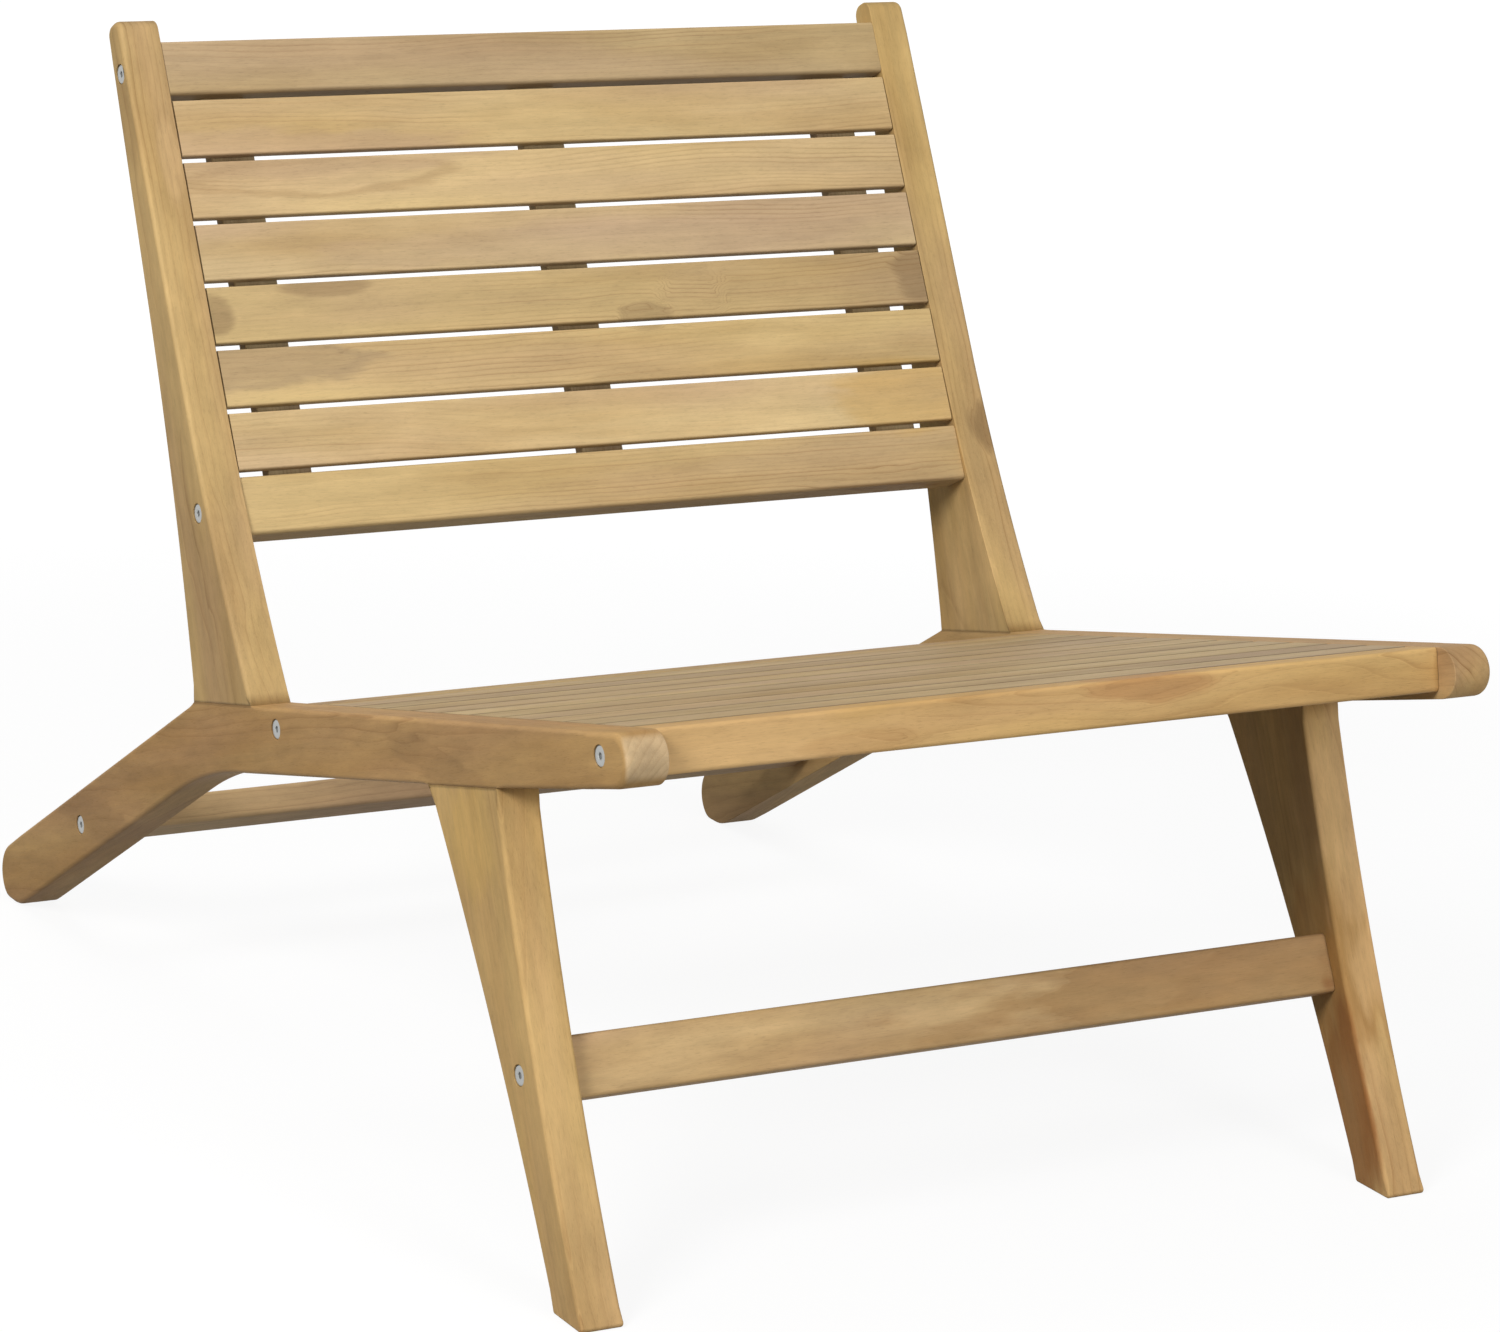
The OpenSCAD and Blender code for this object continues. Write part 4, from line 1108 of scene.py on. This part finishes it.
# Profiles: place along the axis, 0 at the outer face, and radius, from the inner end outwards
BOLT_PROFILE = [
    (-HEAD_HEIGHT - BOLT_LENGTH, BOLT / 2 - 0.6), (0.8 - HEAD_HEIGHT - BOLT_LENGTH, BOLT / 2),
    (-HEAD_HEIGHT, BOLT / 2), (-HEAD_HEIGHT, HEAD / 2), (-0.9, HEAD / 2), (-0.45, HEAD / 2 - 0.12),
    (-0.15, HEAD / 2 - 0.45), (0, HEAD / 2 - 1.0), (0, SOCKET / 2 + 1.1)]
NUT_PROFILE = [(-NUT_LENGTH, NUT / 2 - 0.5), (0.5 - NUT_LENGTH, NUT / 2), (-0.5, NUT / 2), (0, NUT / 2 - 0.5)]
SCREW_PROFILE = [
    (-2.2, 1.75), (-0.35, SCREW_HEAD / 2 - 0.1), (-0.1, SCREW_HEAD / 2), (0, SCREW_HEAD / 2 - 0.15)]
# Rings of the socket in a bolt head: place, width across the flats and how dull it is
SOCKET_RINGS = [(-0.25, SOCKET + 0.5, 0.3), (-0.5, SOCKET, 0.6), (-1.3, SOCKET, 0.8)]
# Half sizes of a nut's slot and of a screw's cross recess, and how much the recess narrows
NUT_SLOT, RECESS, RECESS_TAPER = (3.2, 0.7), (2.3, 0.55), 0.55
# Edges of the metal that turn by more degrees than this stay sharp
SHARP_EDGE = 32


class CHAIR_OT_bolts(bpy.types.Operator):
    """Builds the frame bolts with their socket heads"""

    bl_idname = "chair.bolts"
    bl_label = "Bolts"

    def execute(self, context):
        turning = Turning()
        sides = 36
        reach = SEAT_WIDTH / 2 + BOARD - HEAD_SINK
        for place, _, _ in CROSS_PIECES.values():
            for _, side in SIDES:
                turning.move_to(turned_axes((side * reach, *place), (side, 0, 0)))
                rings = [turning.ring(x, circle(radius, sides)) for x, radius in BOLT_PROFILE]
                rings += [turning.ring(x, hexagon(width, sides), dull) for x, width, dull in SOCKET_RINGS]
                turning.skin(rings)
                turning.fill(rings[-1])
        turning.finish("bolt_set", "frame_bolts")
        return {"FINISHED"}


class CHAIR_OT_nuts(bpy.types.Operator):
    """Builds the cross nuts with a slot in the end that shows"""

    bl_idname = "chair.nuts"
    bl_label = "Cross Nuts"

    def execute(self, context):
        turning = Turning()
        long, thin = NUT_SLOT
        slot = [(-long, -thin), (long, -thin), (long, thin), (-long, thin)]
        for place, lean, (back, up) in CROSS_PIECES.values():
            out = heading(lean) * back + rising(lean) * up
            for x in NUT_PLACES:
                turning.move_to(turned_axes((x, *(place + out * (NUT_LENGTH / 2))), (0, *out)))
                turning.recessed(NUT_PROFILE, slot, slot, sides=28, depth=1.4, shade=0.3)
        turning.finish("nut_set", "cross_nuts")
        return {"FINISHED"}


def screw_heads(name, node, points, out):
    """Countersunk heads in all battens of a panel, flush with the wood and with a cross recess."""
    arm, half = RECESS
    cross = [(arm, -half), (arm, half), (half, half), (half, arm), (-half, arm), (-half, half),
             (-arm, half), (-arm, -half), (-half, -half), (-half, -arm), (half, -arm), (half, -half)]
    small = [(RECESS_TAPER * y, RECESS_TAPER * z) for y, z in cross]
    turning = Turning()
    for point in points:
        for _, x in BATTENS:
            turning.move_to(turned_axes((x, *point), (0, *out)))
            turning.recessed(SCREW_PROFILE, cross, small, sides=24, depth=1.5, shade=0.4, dull=0.1)
    turning.finish(name, node)


class CHAIR_OT_screws(bpy.types.Operator):
    """Builds the heads of the screws that hold the slats"""

    bl_idname = "chair.screws"
    bl_label = "Screws"

    def execute(self, context):
        behind = [back_point(SLAT + BACK_BATTEN, row) for row in BACK_ROWS]
        screw_heads("back_screw_set", "back_screws", behind, heading(BACK_LEAN))
        below = [seat_point(row, SLAT + SEAT_BATTEN) for row in SEAT_ROWS]
        screw_heads("seat_screw_set", "seat_screws", below, -rising(SEAT_TILT))
        return {"FINISHED"}


def dowels(word, rows, length, diameter, grain):
    """Fluted pins as one piece, from rows of centre and axis."""
    flutes, groove, ease = 18, 0.35, 0.8
    corners = []
    for i in range(flutes * 2):
        turn = math.pi * i / flutes
        radius = diameter / 2 - (groove if i % 2 else 0.0)
        corners.append((Vector((math.cos(turn), math.sin(turn))) * radius, 0, ease, False))
    outline = rounded(corners)
    shape = Shape(Matrix.Identity(4))
    for centre, axis in rows:
        shape.move_to(turned_axes(centre, axis))
        prism(shape, outline, -length / 2, length / 2)
    wood_piece(shape, word + "_pin_set", word + "_dowels", grain, (0, 1, 0), "teak_light")


class CHAIR_OT_dowels(bpy.types.Operator):
    """Builds the hidden dowels of the joints"""

    bl_idname = "chair.dowels"
    bl_label = "Dowels"

    def execute(self, context):
        slant = SEAT_TILT + math.degrees(math.atan(UNDER_SLOPE))
        front = FRONT_STRETCHER_PLACE + rising(STRETCHER_LEAN) * PIN_BESIDE
        low = rear_point(STRETCHER_REACH + PIN_BESIDE, REAR_WIDTH / 2)
        frame_pins, stretcher_pins = [], []
        for _, side in SIDES:
            middle = side * (SEAT_WIDTH / 2 + BOARD / 2)
            for step in (-1, 1):
                foot = seat_point(UPRIGHT_BASE / 2 - step * UPRIGHT_BASE / 4, 0)
                joint = under_arm(LEG_PLACE) + heading(slant) * step * LEG_TOP / 4
                frame_pins.append(((middle, *foot), (0, *rising(SEAT_TILT))))
                frame_pins.append(((middle, *joint), (0, *rising(slant))))
            stretcher_pins += [((side * SEAT_WIDTH / 2, *spot), (1, 0, 0)) for spot in (front, low)]
        dowels("frame", frame_pins, *FRAME_PIN, (0, 0, 1))
        dowels("stretcher", stretcher_pins, *STRETCHER_PIN, (1, 0, 0))
        return {"FINISHED"}


# Studio, in metres and degrees

# Each light's setting and name, place, diameter and colour. All of them aim at one point.
LIGHTS = (
    ("key", (-3.0, -1.5, 2.5), 1.5, (1.0, 0.985, 0.96)),
    ("fill", (0.6, -4.2, 1.5), 1.6, (0.97, 0.985, 1.0)),
    ("top", (-0.3, 0.9, 3.2), 2.0, (1.0, 1.0, 1.0)),
)
AIM = (0, 0, 0.3)
FLOOR_REACH = 30.0
# The camera's place and angles
CAMERA_PLACE = (-1.754549, -3.041541, 1.220136)
AZIMUTH, ELEVATION, ROLL = -30.618, 15.031, 3.143
# The photo's width and its focal length in pixels, and the sensor's width in millimetres
PHOTO_WIDTH, PHOTO_FOCAL, SENSOR = 1500, 5200, 36.0


def plain_rays(start):
    """1 for what the camera sees straight, in a mirror or through glass."""
    straight, mirror, glass = (start.node("ShaderNodeLightPath", {}, {}, ray) for ray in (
        "Is Camera Ray", "Is Glossy Ray", "Is Transmission Ray"))
    both = start.maths("MAXIMUM", straight, mirror)
    return start.maths("MAXIMUM", both, glass)


def soft_light(name, place, size, tint):
    lamp = bpy.data.lights.new(name, "AREA")
    lamp.shape, lamp.size, lamp.color = "DISK", size, tint
    lamp.energy = getattr(bpy.context.scene.chair_studio, name)
    light = bpy.data.objects.new(name, lamp)
    bpy.context.scene.collection.objects.link(light)
    light.location = place
    light.rotation_mode = "QUATERNION"
    light.rotation_quaternion = (Vector(AIM) - Vector(place)).to_track_quat("-Z", "Y")


def set_camera():
    """A long lens at the height and distance that give the chair its proportions."""
    azimuth, elevation, roll = (math.radians(angle) for angle in (AZIMUTH, ELEVATION, ROLL))
    level = math.cos(elevation)
    right = Vector((math.cos(azimuth), math.sin(azimuth), 0))
    back = Vector((math.sin(azimuth) * level, -math.cos(azimuth) * level, math.sin(elevation)))
    up = back.cross(right)
    tilted = right * math.cos(roll) + up * math.sin(roll)
    upward = up * math.cos(roll) - right * math.sin(roll)
    data = bpy.data.cameras.new("camera")
    data.sensor_width, data.lens = SENSOR, SENSOR * PHOTO_FOCAL / PHOTO_WIDTH
    data.clip_start, data.clip_end = 0.1, 100.0
    camera = bpy.data.objects.new("camera", data)
    bpy.context.scene.collection.objects.link(camera)
    rows = Matrix((tilted, upward, back)).transposed().to_4x4()
    camera.matrix_world = Matrix.Translation(CAMERA_PLACE) @ rows
    bpy.context.scene.camera = camera


def set_floor():
    """A floor that looks white to the camera and keeps the shadow of the chair."""
    mesh = bpy.data.meshes.new("floor")
    corners = ((-1, -1), (1, -1), (1, 1), (-1, 1))
    mesh.from_pydata([(x * FLOOR_REACH, y * FLOOR_REACH, 0) for x, y in corners], [], [(0, 1, 2, 3)])
    floor = bpy.data.objects.new("floor", mesh)
    bpy.context.scene.collection.objects.link(floor)
    material = bpy.data.materials.new("pale_floor")
    start = empty_tree(material)
    seen_plain = plain_rays(start)
    place = start.node("ShaderNodeTexCoord", {}, {}, "Object")
    # The camera sees pale paint under a veil of light, which is brighter away from the chair. Other
    # rays find darker paint, so that little light comes back up to the chair.
    far = place.length().between(0.9, 2.6)
    paint = start.node("ShaderNodeBsdfDiffuse", {}, {"Color": seen_plain * 0.60 + 0.20})
    veil = start.node("ShaderNodeEmission", {}, {"Color": far * 0.13 + 1.05, "Strength": 1.0})
    seen = start.node("ShaderNodeMixShader", {}, {0: seen_plain * 0.86, 1: paint, 2: veil})
    seen.node("ShaderNodeOutputMaterial", {}, {"Surface": seen})
    mesh.materials.append(material)


def set_world():
    """Even light from all round, and white where the camera sees past the floor."""
    ambient = bpy.context.scene.chair_studio.ambient
    world = bpy.data.worlds.new("studio")
    bpy.context.scene.world = world
    start = empty_tree(world)
    strength = plain_rays(start) * (1 - ambient) + ambient
    sky = start.node("ShaderNodeBackground", {}, {"Color": (1, 1, 1, 1), "Strength": strength})
    sky.node("ShaderNodeOutputWorld", {}, {"Surface": sky})


class CHAIR_OT_stage(bpy.types.Operator):
    """Sets the pale floor, the soft lights and the camera"""

    bl_idname = "chair.stage"
    bl_label = "Stage"

    def execute(self, context):
        set_floor()
        set_world()
        for light in LIGHTS:
            soft_light(*light)
        set_camera()
        context.scene.view_settings.view_transform = "Standard"
        return {"FINISHED"}


OPERATORS = (
    CHAIR_OT_materials, CHAIR_OT_side_rails, CHAIR_OT_uprights, CHAIR_OT_front_legs, CHAIR_OT_back_rails,
    CHAIR_OT_back_slats, CHAIR_OT_back_battens, CHAIR_OT_seat_rails, CHAIR_OT_seat_slats,
    CHAIR_OT_seat_battens, CHAIR_OT_stretchers, CHAIR_OT_bolts, CHAIR_OT_nuts, CHAIR_OT_screws,
    CHAIR_OT_dowels, CHAIR_OT_stage)


class CHAIR_PT_panel(bpy.types.Panel):
    """Lists the settings and the pieces of the chair"""

    bl_idname = "CHAIR_PT_panel"
    bl_label = "Lounge Chair"
    bl_space_type = "VIEW_3D"
    bl_region_type = "UI"
    bl_category = "Chair"

    def draw(self, context):
        for name, label, _ in SETTINGS:
            group = getattr(context.scene, name)
            box = self.layout.box()
            box.label(text=label)
            for prop in group.__annotations__:
                box.prop(group, prop)
        for operator in OPERATORS:
            self.layout.operator(operator.bl_idname)


SETTINGS = (
    ("chair_edges", "Edges", EdgeSettings), ("chair_wood", "Wood", WoodSettings),
    ("chair_metal", "Metal", MetalSettings), ("chair_studio", "Studio", StudioSettings))
CLASSES = (*(group for _, _, group in SETTINGS), *OPERATORS, CHAIR_PT_panel)


def register():
    for made in CLASSES:
        bpy.utils.register_class(made)
    for name, _, group in SETTINGS:
        setattr(bpy.types.Scene, name, PointerProperty(type=group))


def unregister():
    for name, _, _ in SETTINGS:
        delattr(bpy.types.Scene, name)
    for made in reversed(CLASSES):
        bpy.utils.unregister_class(made)


def main():
    register()
    for operator in OPERATORS:
        group, name = operator.bl_idname.split(".")
        getattr(getattr(bpy.ops, group), name)()


if __name__ == "__main__":
    main()
